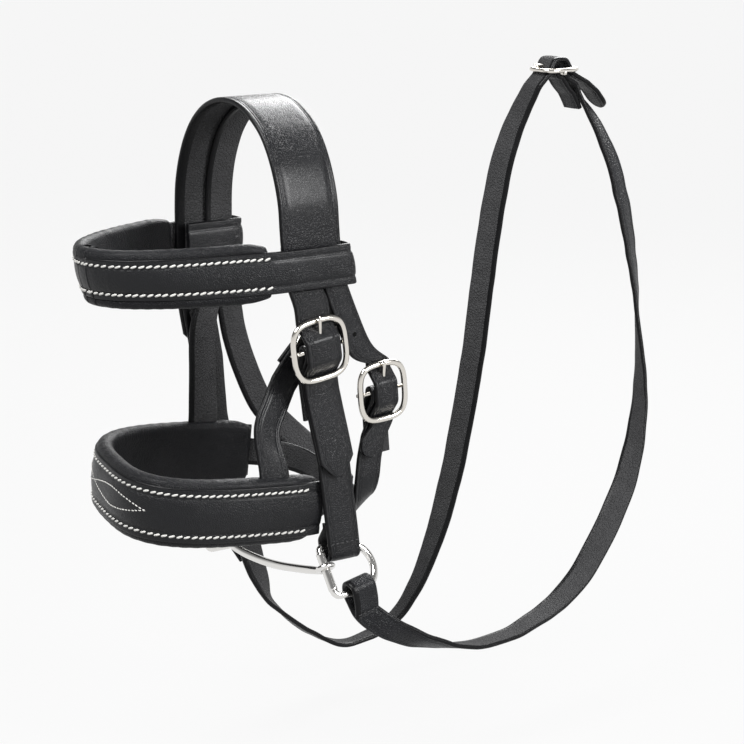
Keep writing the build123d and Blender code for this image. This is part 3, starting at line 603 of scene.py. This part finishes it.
def frames_along(path, step=1.0, soften=0):
    """Centre, width direction and face direction at even steps, in metres."""
    points = path["points"]
    sides = path["sides"]
    dense = []
    last = len(points) - 1
    for i in range(last):
        p0, p1, p2, p3 = points[max(i - 1, 0)], points[i], points[i + 1], points[min(i + 2, last)]
        parts = max(1, ceil((p2 - p1).length / step))
        for k in range(parts):
            t = k / parts
            bend = 0.5 * (2 * p1 + (p2 - p0) * t + (2 * p0 - 5 * p1 + 4 * p2 - p3) * t * t
                          + (3 * p1 - p0 - 3 * p2 + p3) * t ** 3)
            flat = p1.lerp(p2, t)
            limit = 0.12 * (p2 - p1).length
            off = bend - flat
            if off.length > limit:
                off *= limit / off.length
            dense.append((flat + off, sides[i].normalized().lerp(sides[i + 1].normalized(), t)))
    dense.append((points[-1], sides[-1].normalized()))
    if soften:
        reach = int(soften / step)
        eased = []
        for i, (point, side) in enumerate(dense):
            share = max(0.0, min(1.0, (point.z - ARCH_EASE_FROM) / 12))
            span = min(reach, i, len(dense) - 1 - i)
            near = [q for q, _ in dense[i - span:i + span + 1]]
            mean = sum(near, V()) / len(near)
            eased.append((point.lerp(mean, share), side))
        dense = eased
    out = []
    for i, (point, side) in enumerate(dense):
        ahead = (dense[min(i + 1, len(dense) - 1)][0] - dense[max(i - 1, 0)][0]).normalized()
        side = side.normalized()
        out.append((point, side, ahead.cross(side).normalized()))
    return out


def run_lengths(rows):
    """How far along its line each row of frames_along() is."""
    run = [0.0]
    for a, b in zip(rows, rows[1:]):
        run.append(run[-1] + (b[0] - a[0]).length)
    return run


def skin(count, parts, base=0):
    """Quads between count rings of parts points each."""
    faces = []
    for i in range(count - 1):
        low = base + i * parts
        for k in range(parts):
            m = (k + 1) % parts
            faces.append((low + k, low + m, low + parts + m, low + parts + k))
    return faces


def circle(parts):
    return [2 * pi * k / parts for k in range(parts)]


def ring_face(number, parts, base=0):
    return tuple(range(base + number * parts, base + (number + 1) * parts))


def add_mesh(name, verts, faces, materials, indices=None, smooth=True):
    """Mesh object from points in millimetres."""
    mesh = bpy.data.meshes.new(name)
    mesh.from_pydata([v * MM for v in verts], [], faces)
    for material in materials:
        mesh.materials.append(material)
    if indices:
        mesh.polygons.foreach_set("material_index", indices)
    mesh.polygons.foreach_set("use_smooth", [smooth] * len(mesh.polygons))
    mesh.update()
    obj = bpy.data.objects.new(name, mesh)
    bpy.context.scene.collection.objects.link(obj)
    return obj


# two creases beside the strap's edge: (distance in from the rounding, depth)
CREASES = ((0.0, 0.0), (0.75, 0.02), (1.0, 0.26), (1.25, 0.02), (1.75, 0.01), (1.95, 0.13), (2.15, 0.0))
GROOVE_DEPTH = 0.22     # stitch groove of a raised face strap
GROOVE_REACH = 1.1


def strap_profile(width, thick, crease, grain, crown):
    """Closed outline across the strap: (across, out, material), grain side first.

    Material 0 is the grain side, 1 the edge and 2 the flesh side. crown is how far a face
    strap bulges between its stitch grooves.
    """
    half = width / 2
    t = thick / 2
    round_off = min(0.42 * thick, 0.95)
    flat = half - round_off
    top = [(flat - d, t - depth) for d, depth in CREASES] if crease else [(flat, t), (flat - 0.8, t)]
    inner = top[-1][0]
    middle = [(inner * k / 4, t + 0.04 * (1 - (k / 4) ** 2)) for k in (3, 2, 1, 0)]
    if crown:
        groove = flat * 0.70
        middle = [(inner * k / 24, t) for k in range(23, -1, -1)]
        middle = [(x, y - GROOVE_DEPTH * max(0.0, 1 - abs(x - groove) / GROOVE_REACH)
                   + crown * max(0.0, 1 - (x / (groove - 0.6)) ** 2) ** 0.7) for x, y in middle]
    right = top + middle
    line = [(x, y, 0) for x, y in right] + [(-x, y, 0) for x, y in reversed(right[:-1])]
    for k in range(1, 6):
        a = pi * k / 6
        line.append((-flat - round_off * sin(a), t * cos(a), 1))
    line.append((-flat, -t, 1))
    line += [(flat * k / 4, -t, 2) for k in (-3, -2, -1, 0, 1, 2, 3)]
    line.append((flat, -t, 2))
    for k in range(1, 6):
        a = pi * k / 6
        line.append((flat + round_off * sin(a), -t * cos(a), 1))
    return [(x, y * grain, m) for x, y, m in line]


def strap(name, path, node, grain=1, body="headpiece", crease=True, tip_shape="point",
          wobble=0.12, materials=None, crown=0.0, soften=0, turn_over=0.0):
    """Leather strap along a path, with creased grain side, burnished edges and flesh side.

    grain is the side of the path that the grain is on. soften eases the arch over that many
    millimetres, and the strap's first turn_over millimetres have their two sides exchanged.
    """
    rows = frames_along(path, 1.0, soften)
    profile = strap_profile(path["width"], path["thick"], crease, grain, crown)
    length = run_lengths(rows)
    verts = []
    for i, (point, side, face) in enumerate(rows):
        left = length[-1] - length[i]
        share = 1.0
        tip = path["tip"]
        if tip and left < tip:
            x = left / tip
            share = 0.12 + 0.88 * (x ** 0.75 if tip_shape == "point" else sqrt(1 - (1 - x) ** 2))
        sway = noise.noise(point * 0.06 + V(7, 0, 0)) * wobble
        lift = noise.noise(point * 0.11) * wobble
        for across, out, _ in profile:
            verts.append(point + side * (across * share + sway) + face * (out + lift))
    n = len(profile)
    faces = skin(len(rows), n) + [ring_face(0, n), ring_face(len(rows) - 1, n)]
    indices = [2 - m if at < turn_over else m for at in length[:-1] for _, _, m in profile] + [1, 1]
    obj = add_mesh(name, verts, faces, materials or LEATHER, indices)
    for end in (-1, -2):
        obj.data.polygons[end].use_smooth = False
    return dress(obj, node, body)


def dress(obj, node, body):
    """Say which body a piece rides on, which CAD node it replaces."""
    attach(obj, body)
    if node:
        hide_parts(node)
    return obj


def tube(name, points, radius, closed=False, material=None, round_side=None, flatten=1.0, parts=14):
    """Round or slightly flattened wire along points; radius may be a list."""
    count = len(points)
    verts = []
    axis = None
    for i, point in enumerate(points):
        before = points[i - 1] if closed or i else points[0]
        after = points[(i + 1) % count] if closed or i < count - 1 else points[-1]
        ahead = (after - before).normalized()
        if round_side is not None:
            axis = (round_side - ahead * round_side.dot(ahead)).normalized()
        elif axis is None:
            axis = ahead.orthogonal().normalized()
        else:
            axis = (axis - ahead * axis.dot(ahead)).normalized()
        other = ahead.cross(axis)
        r = radius[i] if isinstance(radius, list) else radius
        for a in circle(parts):
            verts.append(point + axis * (r * flatten * cos(a)) + other * (r * sin(a)))
    faces = skin(count, parts)
    if closed:
        last = (count - 1) * parts
        faces += [(last + k, last + (k + 1) % parts, (k + 1) % parts, k) for k in range(parts)]
    else:
        faces += [ring_face(0, parts)[::-1], ring_face(count - 1, parts)]
    return add_mesh(name, verts, faces, [material])


def join(objs, name):
    bpy.ops.object.select_all(action="DESELECT")
    for obj in objs:
        obj.select_set(True)
    bpy.context.view_layer.objects.active = objs[0]
    bpy.ops.object.join()
    objs[0].name = name
    return objs[0]


# materials

def principled(name):
    material = bpy.data.materials.new(name)
    material.use_nodes = True
    return material, material.node_tree, material.node_tree.nodes["Principled BSDF"]


def textured(name):
    """A material with its tree, its shader, the link call and object coordinates."""
    material, tree, shader = principled(name)
    return material, tree, shader, tree.links.new, tree.nodes.new("ShaderNodeTexCoord").outputs["Object"]


def node(tree, kind, **values):
    made = tree.nodes.new(kind)
    for key, value in values.items():
        made.inputs[key].default_value = value
    return made


def leather(name, color, rough, grain_scale, bump, lift, gloss=0.35, coat=0.12):
    """Dyed leather: pores and fine wrinkles in the bump, a little wear in colour and sheen."""
    material, tree, shader, link, place = textured(name)
    pores = node(tree, "ShaderNodeTexVoronoi", Scale=grain_scale)
    pores.feature = "DISTANCE_TO_EDGE"
    wrinkles = node(tree, "ShaderNodeTexNoise", Scale=grain_scale * 0.28, Detail=8.0, Roughness=0.65)
    wear = node(tree, "ShaderNodeTexNoise", Scale=55.0, Detail=6.0, Roughness=0.6)
    for texture in (pores, wrinkles, wear):
        link(place, texture.inputs["Vector"])
    depth = node(tree, "ShaderNodeMapRange")
    depth.inputs["From Max"].default_value = 0.22
    link(pores.outputs["Distance"], depth.inputs["Value"])
    height = tree.nodes.new("ShaderNodeMix")
    height.inputs["Factor"].default_value = 0.72
    link(depth.outputs["Result"], height.inputs["A"])
    link(wrinkles.outputs["Fac"], height.inputs["B"])
    relief = node(tree, "ShaderNodeBump", Strength=bump, Distance=0.0012)
    link(height.outputs["Result"], relief.inputs["Height"])
    link(relief.outputs["Normal"], shader.inputs["Normal"])
    tone = tree.nodes.new("ShaderNodeMix")
    tone.data_type = "RGBA"
    tone.inputs["A"].default_value = (*color, 1)
    tone.inputs["B"].default_value = (*[c * lift for c in color], 1)
    link(wear.outputs["Fac"], tone.inputs["Factor"])
    link(tone.outputs["Result"], shader.inputs["Base Color"])
    sheen = node(tree, "ShaderNodeMapRange")
    sheen.inputs["To Min"].default_value = rough - 0.07
    sheen.inputs["To Max"].default_value = rough + 0.1
    link(wear.outputs["Fac"], sheen.inputs["Value"])
    link(sheen.outputs["Result"], shader.inputs["Roughness"])
    shader.inputs["Specular IOR Level"].default_value = gloss
    shader.inputs["Coat Weight"].default_value = coat
    shader.inputs["Coat Roughness"].default_value = 0.24
    return material


def plated(name, color, rough):
    """Polished plating with faint rub marks."""
    material, tree, shader, link, place = textured(name)
    rub = node(tree, "ShaderNodeTexNoise", Scale=900.0, Detail=5.0)
    link(place, rub.inputs["Vector"])
    spread = node(tree, "ShaderNodeMapRange")
    spread.inputs["To Min"].default_value = rough
    spread.inputs["To Max"].default_value = rough + 0.1
    link(rub.outputs["Fac"], spread.inputs["Value"])
    link(spread.outputs["Result"], shader.inputs["Roughness"])
    shader.inputs["Base Color"].default_value = (*color, 1)
    shader.inputs["Metallic"].default_value = 1.0
    return material


def thread(name, color):
    """Waxed thread with a twist."""
    material, tree, shader, link, place = textured(name)
    ply = node(tree, "ShaderNodeTexNoise", Scale=2600.0, Detail=3.0)
    link(place, ply.inputs["Vector"])
    relief = node(tree, "ShaderNodeBump", Strength=0.35, Distance=0.0002)
    link(ply.outputs["Fac"], relief.inputs["Height"])
    link(relief.outputs["Normal"], shader.inputs["Normal"])
    shader.inputs["Base Color"].default_value = (*color, 1)
    shader.inputs["Roughness"].default_value = 0.6
    return material


GRAIN = leather("bridle_leather", (0.0022, 0.0023, 0.0028), 0.33, 1150.0, 0.42, 2.6, 0.16, 0.16)
EDGE = leather("burnished_edge", (0.0018, 0.0018, 0.0021), 0.34, 900.0, 0.2, 1.8, 0.12, 0.03)
FLESH = leather("flesh_side", (0.0135, 0.0135, 0.014), 0.75, 700.0, 0.9, 3.0, 0.15, 0.0)
SOFT = leather("padding_leather", (0.0025, 0.0026, 0.0031), 0.42, 1000.0, 0.5, 2.4, 0.13, 0.03)
REIN_GRAIN = leather("rein_leather", (0.0045, 0.0047, 0.0055), 0.38, 800.0, 0.8, 2.6, 0.16, 0.05)
# painted shade: near-black colour for the floor of a punched hole that is not cut through
HOLE_SHADE = leather("painted_hole_shade", (0.001, 0.001, 0.001), 0.8, 900.0, 0.1, 1.2, 0.1, 0.0)
NICKEL = plated("nickel", (0.70, 0.67, 0.62), 0.08)
STEEL = plated("bit_steel", (0.74, 0.73, 0.71), 0.07)
THREAD = thread("thread", (0.37, 0.365, 0.35))
DARK_THREAD = thread("black_thread", (0.012, 0.012, 0.013))
LEATHER = [GRAIN, EDGE, FLESH]
REIN_SIDES = [REIN_GRAIN, EDGE, FLESH]


# straps

def build_straps():
    strap("crown_strap", crown(), "crownpiece", -1, soften=ARCH_SOFTEN)
    strap("near_cheek_billet", cheek_billet(CHEEK["near"], "near", NEAR_ROOT), None)
    strap("far_cheek_billet", cheek_billet(CHEEK["far"], "far", FAR_ROOT), None, -1)
    strap("throat_billet", throat_billet(), None, tip_shape="round")
    strap("throatlatch_strap", throatlatch(), "throatlatch")
    for name in ("near", "far"):
        strap(name + "_cheek_strap", cheekpiece(name), name + "_cheekpiece", -1)
    strap("headstrap_strap", headstrap(), "headstrap", soften=ARCH_SOFTEN)
    strap("hanger_strap", near_hanger(), "near_hanger")
    strap("browband_strap", browband_face(), "browband_face", -1, "browband",
          crease=False, crown=0.7)
    strap("noseband_strap", noseband_face(), "noseband_face", -1, "headpiece",
          crease=False, crown=0.8)
    strap("nose_billet_strap", nose_billet(), "noseband_billet", -1)
    strap("nose_buckle_strap", nose_buckle_strap(), "noseband_buckle_strap", -1)
    strap("near_rein_strap", near_rein(), "near_rein", 1, "reins",
          wobble=REIN_WOBBLE, materials=REIN_SIDES, turn_over=22)
    strap("far_rein_strap", far_rein(), "far_rein", -1, "reins",
          wobble=REIN_WOBBLE, materials=REIN_SIDES, tip_shape="round")


ROLL_STEP = 1.2
ROLL_TAPER = 15


def roll(name, path, lip, node_name, body):
    """Foam roll under a face strap: flat in the middle, with round lips that stand up beside it."""
    rows = frames_along(path, ROLL_STEP)
    half = path["width"] / 2
    low = -path["thick"] / 2
    r = (path["thick"] + lip) / 2
    outline = []
    for k in range(-6, 9):
        a = pi * k / 12
        outline.append((half - r + r * cos(a), low + r + r * sin(a)))
    flat = half - r - 1.2
    outline += [(flat * k / 4, path["thick"] / 2) for k in (4, 2, 0, -2, -4)]
    outline += [(-x, y) for x, y in reversed(outline[:15])]
    outline += [(flat * k / 5, low - 0.5 * (1 - (k / 5) ** 2)) for k in (-4, -2, 0, 2, 4)]
    parts = len(outline)
    verts = []
    for i, (point, side, face) in enumerate(rows):
        end = min(i, len(rows) - 1 - i) * ROLL_STEP
        share = sqrt(max(0.0, 1 - (1 - min(1.0, end / ROLL_TAPER)) ** 2))
        puff = 0.16 * noise.noise(point * 0.12)
        ripple = 0.07 * sin(end * 2 * pi / 6.4)
        for x, y in outline:
            wide = x * (0.72 + 0.28 * share) + (ripple if x > 0 else -ripple) * (abs(x) > flat)
            verts.append(point + side * wide - face * (y * (0.35 + 0.65 * share) + puff))
    faces = skin(len(rows), parts) + [ring_face(0, parts), ring_face(len(rows) - 1, parts)]
    obj = add_mesh(name, verts, faces, [SOFT])
    dress(obj, node_name, body)
    return obj


STITCH_PITCH = 3.15
STITCH_LENGTH = 2.75
STITCH_SLANT = -0.34
STITCH_RADIUS = 0.50
STITCH_OUT = 1.0        # height of the stitches' middle over the strap's


def stitches(name, path, offset, body, margin):
    """Row of thread stitches standing on a strap's face, margin short of both its ends."""
    rows = frames_along(path, 0.4)
    run = run_lengths(rows)
    spots = []
    at = margin
    i = 0
    while at < run[-1] - margin:
        while run[i] < at:
            i += 1
        point, side, face = rows[i]
        face = -face
        spots.append((point + side * offset + face * STITCH_OUT, side.cross(face) * -1, side, face))
        at += STITCH_PITCH
    return stitch_mesh(name, spots, STITCH_LENGTH, STITCH_SLANT, STITCH_RADIUS, body)


LENS_REACH = 21.2       # half the lens's length
LENS_HEIGHT = 4.3       # half its height
LENS_LIFT = 0.7
LENS_PITCH = 1.9
LENS_OUT = 1.7
LENS_POWER = 1.6


def lens(name, path, body, middle):
    """Pointed lens of fine stitches, drawn along a strap round the run length middle."""
    rows = frames_along(path, 0.25)
    run = run_lengths(rows)
    spots = []
    for sign in (-1, 1):
        at = middle - LENS_REACH
        while at <= middle + LENS_REACH:
            i = min(range(len(run)), key=lambda k: abs(run[k] - at))
            share = (at - middle) / LENS_REACH
            offset = LENS_LIFT + sign * LENS_HEIGHT * (1 - abs(share) ** LENS_POWER)
            slope = (-sign * LENS_HEIGHT * LENS_POWER * abs(share) ** 0.6
                     * (1 if share > 0 else -1) / LENS_REACH)
            point, side, face = rows[i]
            face = -face
            ahead = (side.cross(face) * -1 + side * slope).normalized()
            spots.append((point + side * offset + face * LENS_OUT, ahead, side, face))
            at += LENS_PITCH / sqrt(1 + slope * slope)
    return stitch_mesh(name, spots, LENS_PITCH * 0.72, 0.12, 0.3, body)


def place_on(path, at, grain):
    """Centre, width direction and grain-side direction of a strap at a run length."""
    rows = frames_along(path, 0.5)
    run = 0.0
    i = 0
    while run < at and i < len(rows) - 1:
        run += (rows[i + 1][0] - rows[i][0]).length
        i += 1
    point, side, face = rows[i]
    return point, side, face * grain


CROSS_PITCH = 2.2


def cross_line(name, path, at, body, grain, reach):
    """Row of small dark stitches straight across a strap."""
    point, side, face = place_on(path, at, grain)
    start = point + face * (path["thick"] / 2 + 0.03)
    spots = []
    count = int(2 * reach / CROSS_PITCH)
    for k in range(count + 1):
        offset = -reach + 2 * reach * k / count
        spots.append((start + side * offset, side, side.cross(face), face))
    obj = stitch_mesh(name, spots, CROSS_PITCH * 0.75, 0.0, 0.28, body)
    obj.data.materials[0] = DARK_THREAD
    return obj


def stitch_mesh(name, spots, length, slant, radius, body):
    """Capsules of thread, one at each (point, ahead, side, face)."""
    verts = []
    faces = []
    rings = [(-0.5, 0.25), (-0.42, 0.75), (-0.2, 1.0), (0.2, 1.0), (0.42, 0.75), (0.5, 0.25)]
    parts = 8
    for number, (point, ahead, side, face) in enumerate(spots):
        lean = slant + 0.06 * noise.noise(V(number * 1.7, 0, 0))
        run = (ahead + side * lean).normalized()
        wide = face.cross(run)
        base = len(verts)
        for along, share in rings:
            sink = -0.25 * radius * (abs(along) * 2) ** 3
            for a in circle(parts):
                verts.append(point + run * (along * length) + wide * (radius * share * cos(a))
                             + face * (radius * (0.35 + 0.8 * share * sin(a)) + sink))
        faces += skin(len(rings), parts, base)
        faces += [ring_face(0, parts, base)[::-1], ring_face(len(rings) - 1, parts, base)]
    obj = add_mesh(name, verts, faces, [THREAD])
    return dress(obj, None, body)


# metal

BUCKLE_POWER = 3.4      # 2 would be an ellipse, and more is squarer


def oblong(frame, x, half_y, half_z, count=72):
    """Points round a buckle's frame."""
    points = []
    for a in circle(count):
        c, s = cos(a), sin(a)
        y = half_y * abs(s) ** (2 / BUCKLE_POWER) * (1 if s > 0 else -1)
        z = half_z * abs(c) ** (2 / BUCKLE_POWER) * (1 if c > 0 else -1)
        points.append(frame.at(x, y, z))
    return points


def buckle(name, frame, half_y, half_z, wire, rise, node_name, body):
    """Rounded frame over a middle bar, joined by a lug at each side."""
    loop = tube(name, oblong(frame, rise, half_y, half_z), wire, True, NICKEL, frame.out, 0.88)
    ends = [frame.at(BAR_DEPTH, 0, -half_z), frame.at(BAR_DEPTH, 0, half_z)]
    bar = tube(name + "_bar", ends, BAR_RADIUS, False, NICKEL)
    parts = [loop, bar]
    for side in (-1, 1):
        parts.append(tube(name + "_lug", [frame.at(BAR_DEPTH - 0.6, 0, side * half_z),
                                          frame.at(rise, 0, side * half_z)], 1.0, False, NICKEL))
    return dress(join(parts, name), node_name, body)


def tongue(name, frame, half_y, wire, rise, node_name, body):
    """Prong from an eye round the middle bar to a tip that rests on the frame."""
    hoop = [frame.at(BAR_DEPTH + TONGUE_EYE * cos(a), TONGUE_EYE * sin(a)) for a in circle(24)]
    eye = tube(name, hoop, 0.6, True, NICKEL, frame.across, 1.5)
    rest = rise + wire + PRONG_RADIUS + 0.3
    start = frame.at(BAR_DEPTH + 1.75, 0.6)
    over = frame.at(rest, half_y)
    end = over + (over - start).normalized() * 2.6
    line = [start.lerp(end, k / 10) for k in range(11)]
    sizes = [PRONG_RADIUS] * 9 + [PRONG_RADIUS * 0.85, PRONG_RADIUS * 0.45]
    prong = tube(name + "_prong", line, sizes, False, NICKEL)
    return dress(join([eye, prong], name), node_name, body)


def buckle_and_tongue(label, frame, half_y, half_z, gauge, piece, body):
    wire, rise = gauge
    buckle(label + "_buckle_frame", frame, half_y, half_z, wire, rise, piece + "_buckle", body)
    tongue(label + "_buckle_tongue", frame, half_y, wire, rise, piece + "_tongue", piece + "_prong")


def d_ring(name):
    """D-shaped bit ring: round wire, with a thicker straight barrel for the mouthpiece's eye."""
    ring = ring_frame(name)
    half = RING_HALF
    reach = half - RING_CORNER
    outline = [(0, -half + RING_CORNER), (0, reach)]
    corner = [(RING_CORNER - RING_CORNER * cos(radians(a)), reach + RING_CORNER * sin(radians(a)))
              for a in range(15, 91, 15)]
    arc = [(RING_STRAIGHT + half * sin(radians(a)), half * cos(radians(a))) for a in range(0, 181, 6)]
    back = [(x, -y) for x, y in reversed(corner)]
    points = [ring.at(x, y) for x, y in outline + corner + arc + back]
    loop = tube(name + "_ring", points, RING_WIRE, True, STEEL)
    shape = [(-1.0, 0.9), (-0.97, 1.0), (-0.9, 1.0), (-0.3, 0.98), (0.3, 0.98), (0.9, 1.0),
             (0.97, 1.0), (1.0, 0.9)]
    barrel = tube(name + "_barrel", [ring.at(0, y * reach) for y, _ in shape],
                  [BARREL_RADIUS * r for _, r in shape], False, STEEL, parts=20)
    return dress(join([loop, barrel], name + "_d_ring"), name + "_bit_ring", "bit")


def mouthpiece():
    """Curved bar with a wire eye round each ring's barrel."""
    parts = []
    ends = []
    for name, shift in (("near", -2.0), ("far", 0.0)):
        ring = ring_frame(name)
        centre = ring.at(0, shift)
        hoop = [centre + ring.out * (MOUTH_EYE * cos(a)) + ring.across * (MOUTH_EYE * sin(a))
                for a in circle(32)]
        parts.append(tube("eye_" + name, hoop, MOUTH_EYE_WIRE, True, STEEL))
        side = 1 if centre.x > 0 else -1
        ends.append(centre + V(-side * abs(ring.up.z), 0, -side * ring.up.x) * (MOUTH_EYE + 0.2))
    stations = [ends[0], V(28, 5.8, -207.3), V(11, 5.0, -209.9), V(-4, 4.6, -211),
                V(-20, 3.8, -210.3), ends[1]]
    line = [V(*p) for p in smooth([tuple(s) for s in stations], 10)]
    sizes = [MOUTH_RADIUS * (0.8 + 0.2 * min(1, min(i, len(line) - 1 - i) / 5)) for i in range(len(line))]
    parts.append(tube("bar", line, sizes, False, STEEL, parts=20))
    return dress(join(parts, "mouthpiece"), "bit_mouthpiece", "bit")


HOLE_RADIUS = 1.15
HOLE_PROUD = 0.05       # keeps the rim over the strap's surface


def hole(name, path, at, body):
    """Punched hole: a shallow dimple with a pressed rim, whose floor is painted near-black as painted
    shade for the inside of the hole. It isn't cut through.
    """
    point, side, face = place_on(path, at, 1)
    ahead = side.cross(face)
    centre = point + face * (path["thick"] / 2)
    verts = []
    rings = [(1.5, 0.0), (1.15, 0.09), (1.0, 0.03), (0.9, -0.02)]
    parts = 24
    for r, up in rings:
        for a in circle(parts):
            verts.append(centre + side * (HOLE_RADIUS * r * cos(a)) + ahead * (HOLE_RADIUS * r * sin(a))
                         + face * (up + HOLE_PROUD))
    faces = skin(len(rings), parts)
    # the rim keeps the grain leather, and the floor gets the painted shade of the hole
    indices = [0] * len(faces) + [1]
    faces.append(ring_face(len(rings) - 1, parts))
    obj = add_mesh(name, verts, faces, [GRAIN, HOLE_SHADE], indices)
    return dress(obj, None, body)


build_straps()
roll("browband_roll", browband_padding(), 1.9, "browband_padding", "browband")
roll("noseband_roll", noseband_padding(), 1.7, "noseband_padding", "headpiece")

for label, offset in (("upper", 6.3), ("lower", -6.3)):
    stitches("brow_stitches_" + label, browband_face(), offset, "browband", 79)
for label, offset in (("upper", 9.4), ("lower", -9.4)):
    stitches("nose_stitches_" + label, noseband_face(), offset, "headpiece", 9)

lens("nose_lens_near", noseband_face(), "headpiece", 102.8)
lens("nose_lens_far", noseband_face(), "headpiece", 145.2)
near_billet = cheek_billet(CHEEK["near"], "near", NEAR_ROOT)
for number, at in enumerate((37.8, 53.6)):
    hole("cheek_hole_%d" % number, near_billet, at, "headpiece")
hole("throat_hole", throat_billet(), 24.5, "headpiece")
cross_line("near_sewn_line", cheekpiece("near"), 131.0, "headpiece", -1, 6.4)
cross_line("far_sewn_line", cheekpiece("far"), 96.0, "headpiece", -1, 6.4)
cross_line("near_rein_line", near_rein(), 1.6, "reins", -1, 4.6)
cross_line("far_rein_line", far_rein(), 1.6, "reins", 1, 4.6)

BIG = (1.4, 1.2)        # wire radius, and how far the frame stands over its bar's plane
SMALL = (1.2, 1.0)
buckle_and_tongue("throat", THROAT, THROAT_HALF_Y, THROAT_HALF_Z, BIG, "throatlatch", "headpiece")
buckle_and_tongue("near", CHEEK["near"], CHEEK_HALF_Y, CHEEK_HALF_Z, BIG, "near_cheek", "headpiece")
d_ring("near")
d_ring("far")
buckle_and_tongue("head", HEAD, HEAD_HALF_Y, HEAD_HALF_Z, SMALL, "headstrap", "headpiece")
buckle_and_tongue("nose", nose_buckle_frame(), NOSE_BUCKLE_HALF_Y, NOSE_BUCKLE_HALF_Z, SMALL, "noseband",
                  "headpiece")
buckle_and_tongue("rein", REIN, REIN_HALF_Y, REIN_HALF_Z, SMALL, "rein", "reins")
mouthpiece()


# studio

FLOOR_REACH = 60000
FLOOR_GAP = 20
WORLD_FADE = (("From Min", 0.15), ("From Max", 0.5), ("To Min", 0.88), ("To Max", 0.24))
LAMP_AIM = V(0, 40, -130)
LAMPS = (("key", V(150, -650, 900), 0.6, 30), ("side", V(1100, 450, 420), 0.5, 24),
         ("rim", V(-600, 800, 600), 0.7, 22))       # place, size in metres, power in watts


def studio():
    """Pale floor, a world that is light near the horizon, and three soft lamps."""
    low = cad_low.z / MM - FLOOR_GAP
    corners = [V(x * FLOOR_REACH, y * FLOOR_REACH, low) for x, y in ((-1, -1), (1, -1), (1, 1), (-1, 1))]
    floor = add_mesh("floor", corners, [(0, 1, 2, 3)], [backdrop()], None, False)
    world = bpy.data.worlds.new("studio")
    bpy.context.scene.world = world
    world.use_nodes = True
    tree = world.node_tree
    split = tree.nodes.new("ShaderNodeSeparateXYZ")
    fade = node(tree, "ShaderNodeMapRange")
    for socket, value in WORLD_FADE:
        fade.inputs[socket].default_value = value
    tree.links.new(tree.nodes.new("ShaderNodeTexCoord").outputs["Generated"], split.inputs[0])
    tree.links.new(split.outputs["Z"], fade.inputs["Value"])
    tree.links.new(fade.outputs["Result"], tree.nodes["Background"].inputs["Strength"])
    tree.nodes["Background"].inputs["Color"].default_value = (1, 1, 1, 1)
    bpy.context.scene.view_settings.view_transform = "Standard"
    for name, where, size, power in LAMPS:
        lamp = bpy.data.lights.new(name, "AREA")
        lamp.size = size
        lamp.energy = power
        obj = bpy.data.objects.new(name, lamp)
        obj.location = where * MM
        aim = LAMP_AIM * MM - obj.location
        obj.rotation_mode = "QUATERNION"
        obj.rotation_quaternion = aim.to_track_quat("-Z", "Y")
        bpy.context.scene.collection.objects.link(obj)


def backdrop():
    """Almost all of the floor's light is its own, so that it is as even as the photograph's."""
    material, tree, shader = principled("backdrop")
    shader.inputs["Base Color"].default_value = (0.012, 0.012, 0.012, 1)
    shader.inputs["Roughness"].default_value = 0.9
    shader.inputs["Specular IOR Level"].default_value = 0.1
    shader.inputs["Emission Color"].default_value = (1, 1, 1, 1)
    shader.inputs["Emission Strength"].default_value = 0.90
    return material


CAMERA_AZIMUTH = 55
CAMERA_TILT = 13
CAMERA_DISTANCE = 1000
CAMERA_AIM = (52, -118)     # right and up of the origin, in the picture's plane
SENSOR = 36
FOCAL_PIXELS = 2300
PICTURE = 744


def camera():
    azimuth = radians(CAMERA_AZIMUTH)
    tilt = radians(CAMERA_TILT)
    back = V(sin(azimuth) * cos(tilt), -cos(azimuth) * cos(tilt), sin(tilt))
    right = V(cos(azimuth), sin(azimuth), 0)
    up = back.cross(right)
    aim = right * CAMERA_AIM[0] + up * CAMERA_AIM[1] + V(2.5, 0, 0)
    data = bpy.data.cameras.new("camera")
    data.lens = SENSOR * FOCAL_PIXELS / PICTURE
    data.sensor_width = SENSOR
    data.clip_start = 0.01
    data.clip_end = 200
    obj = bpy.data.objects.new("camera", data)
    obj.location = (aim + back * CAMERA_DISTANCE) * MM
    obj.rotation_mode = "QUATERNION"
    obj.rotation_quaternion = (-back).to_track_quat("-Z", "Y")
    bpy.context.scene.collection.objects.link(obj)
    bpy.context.scene.camera = obj


studio()
camera()
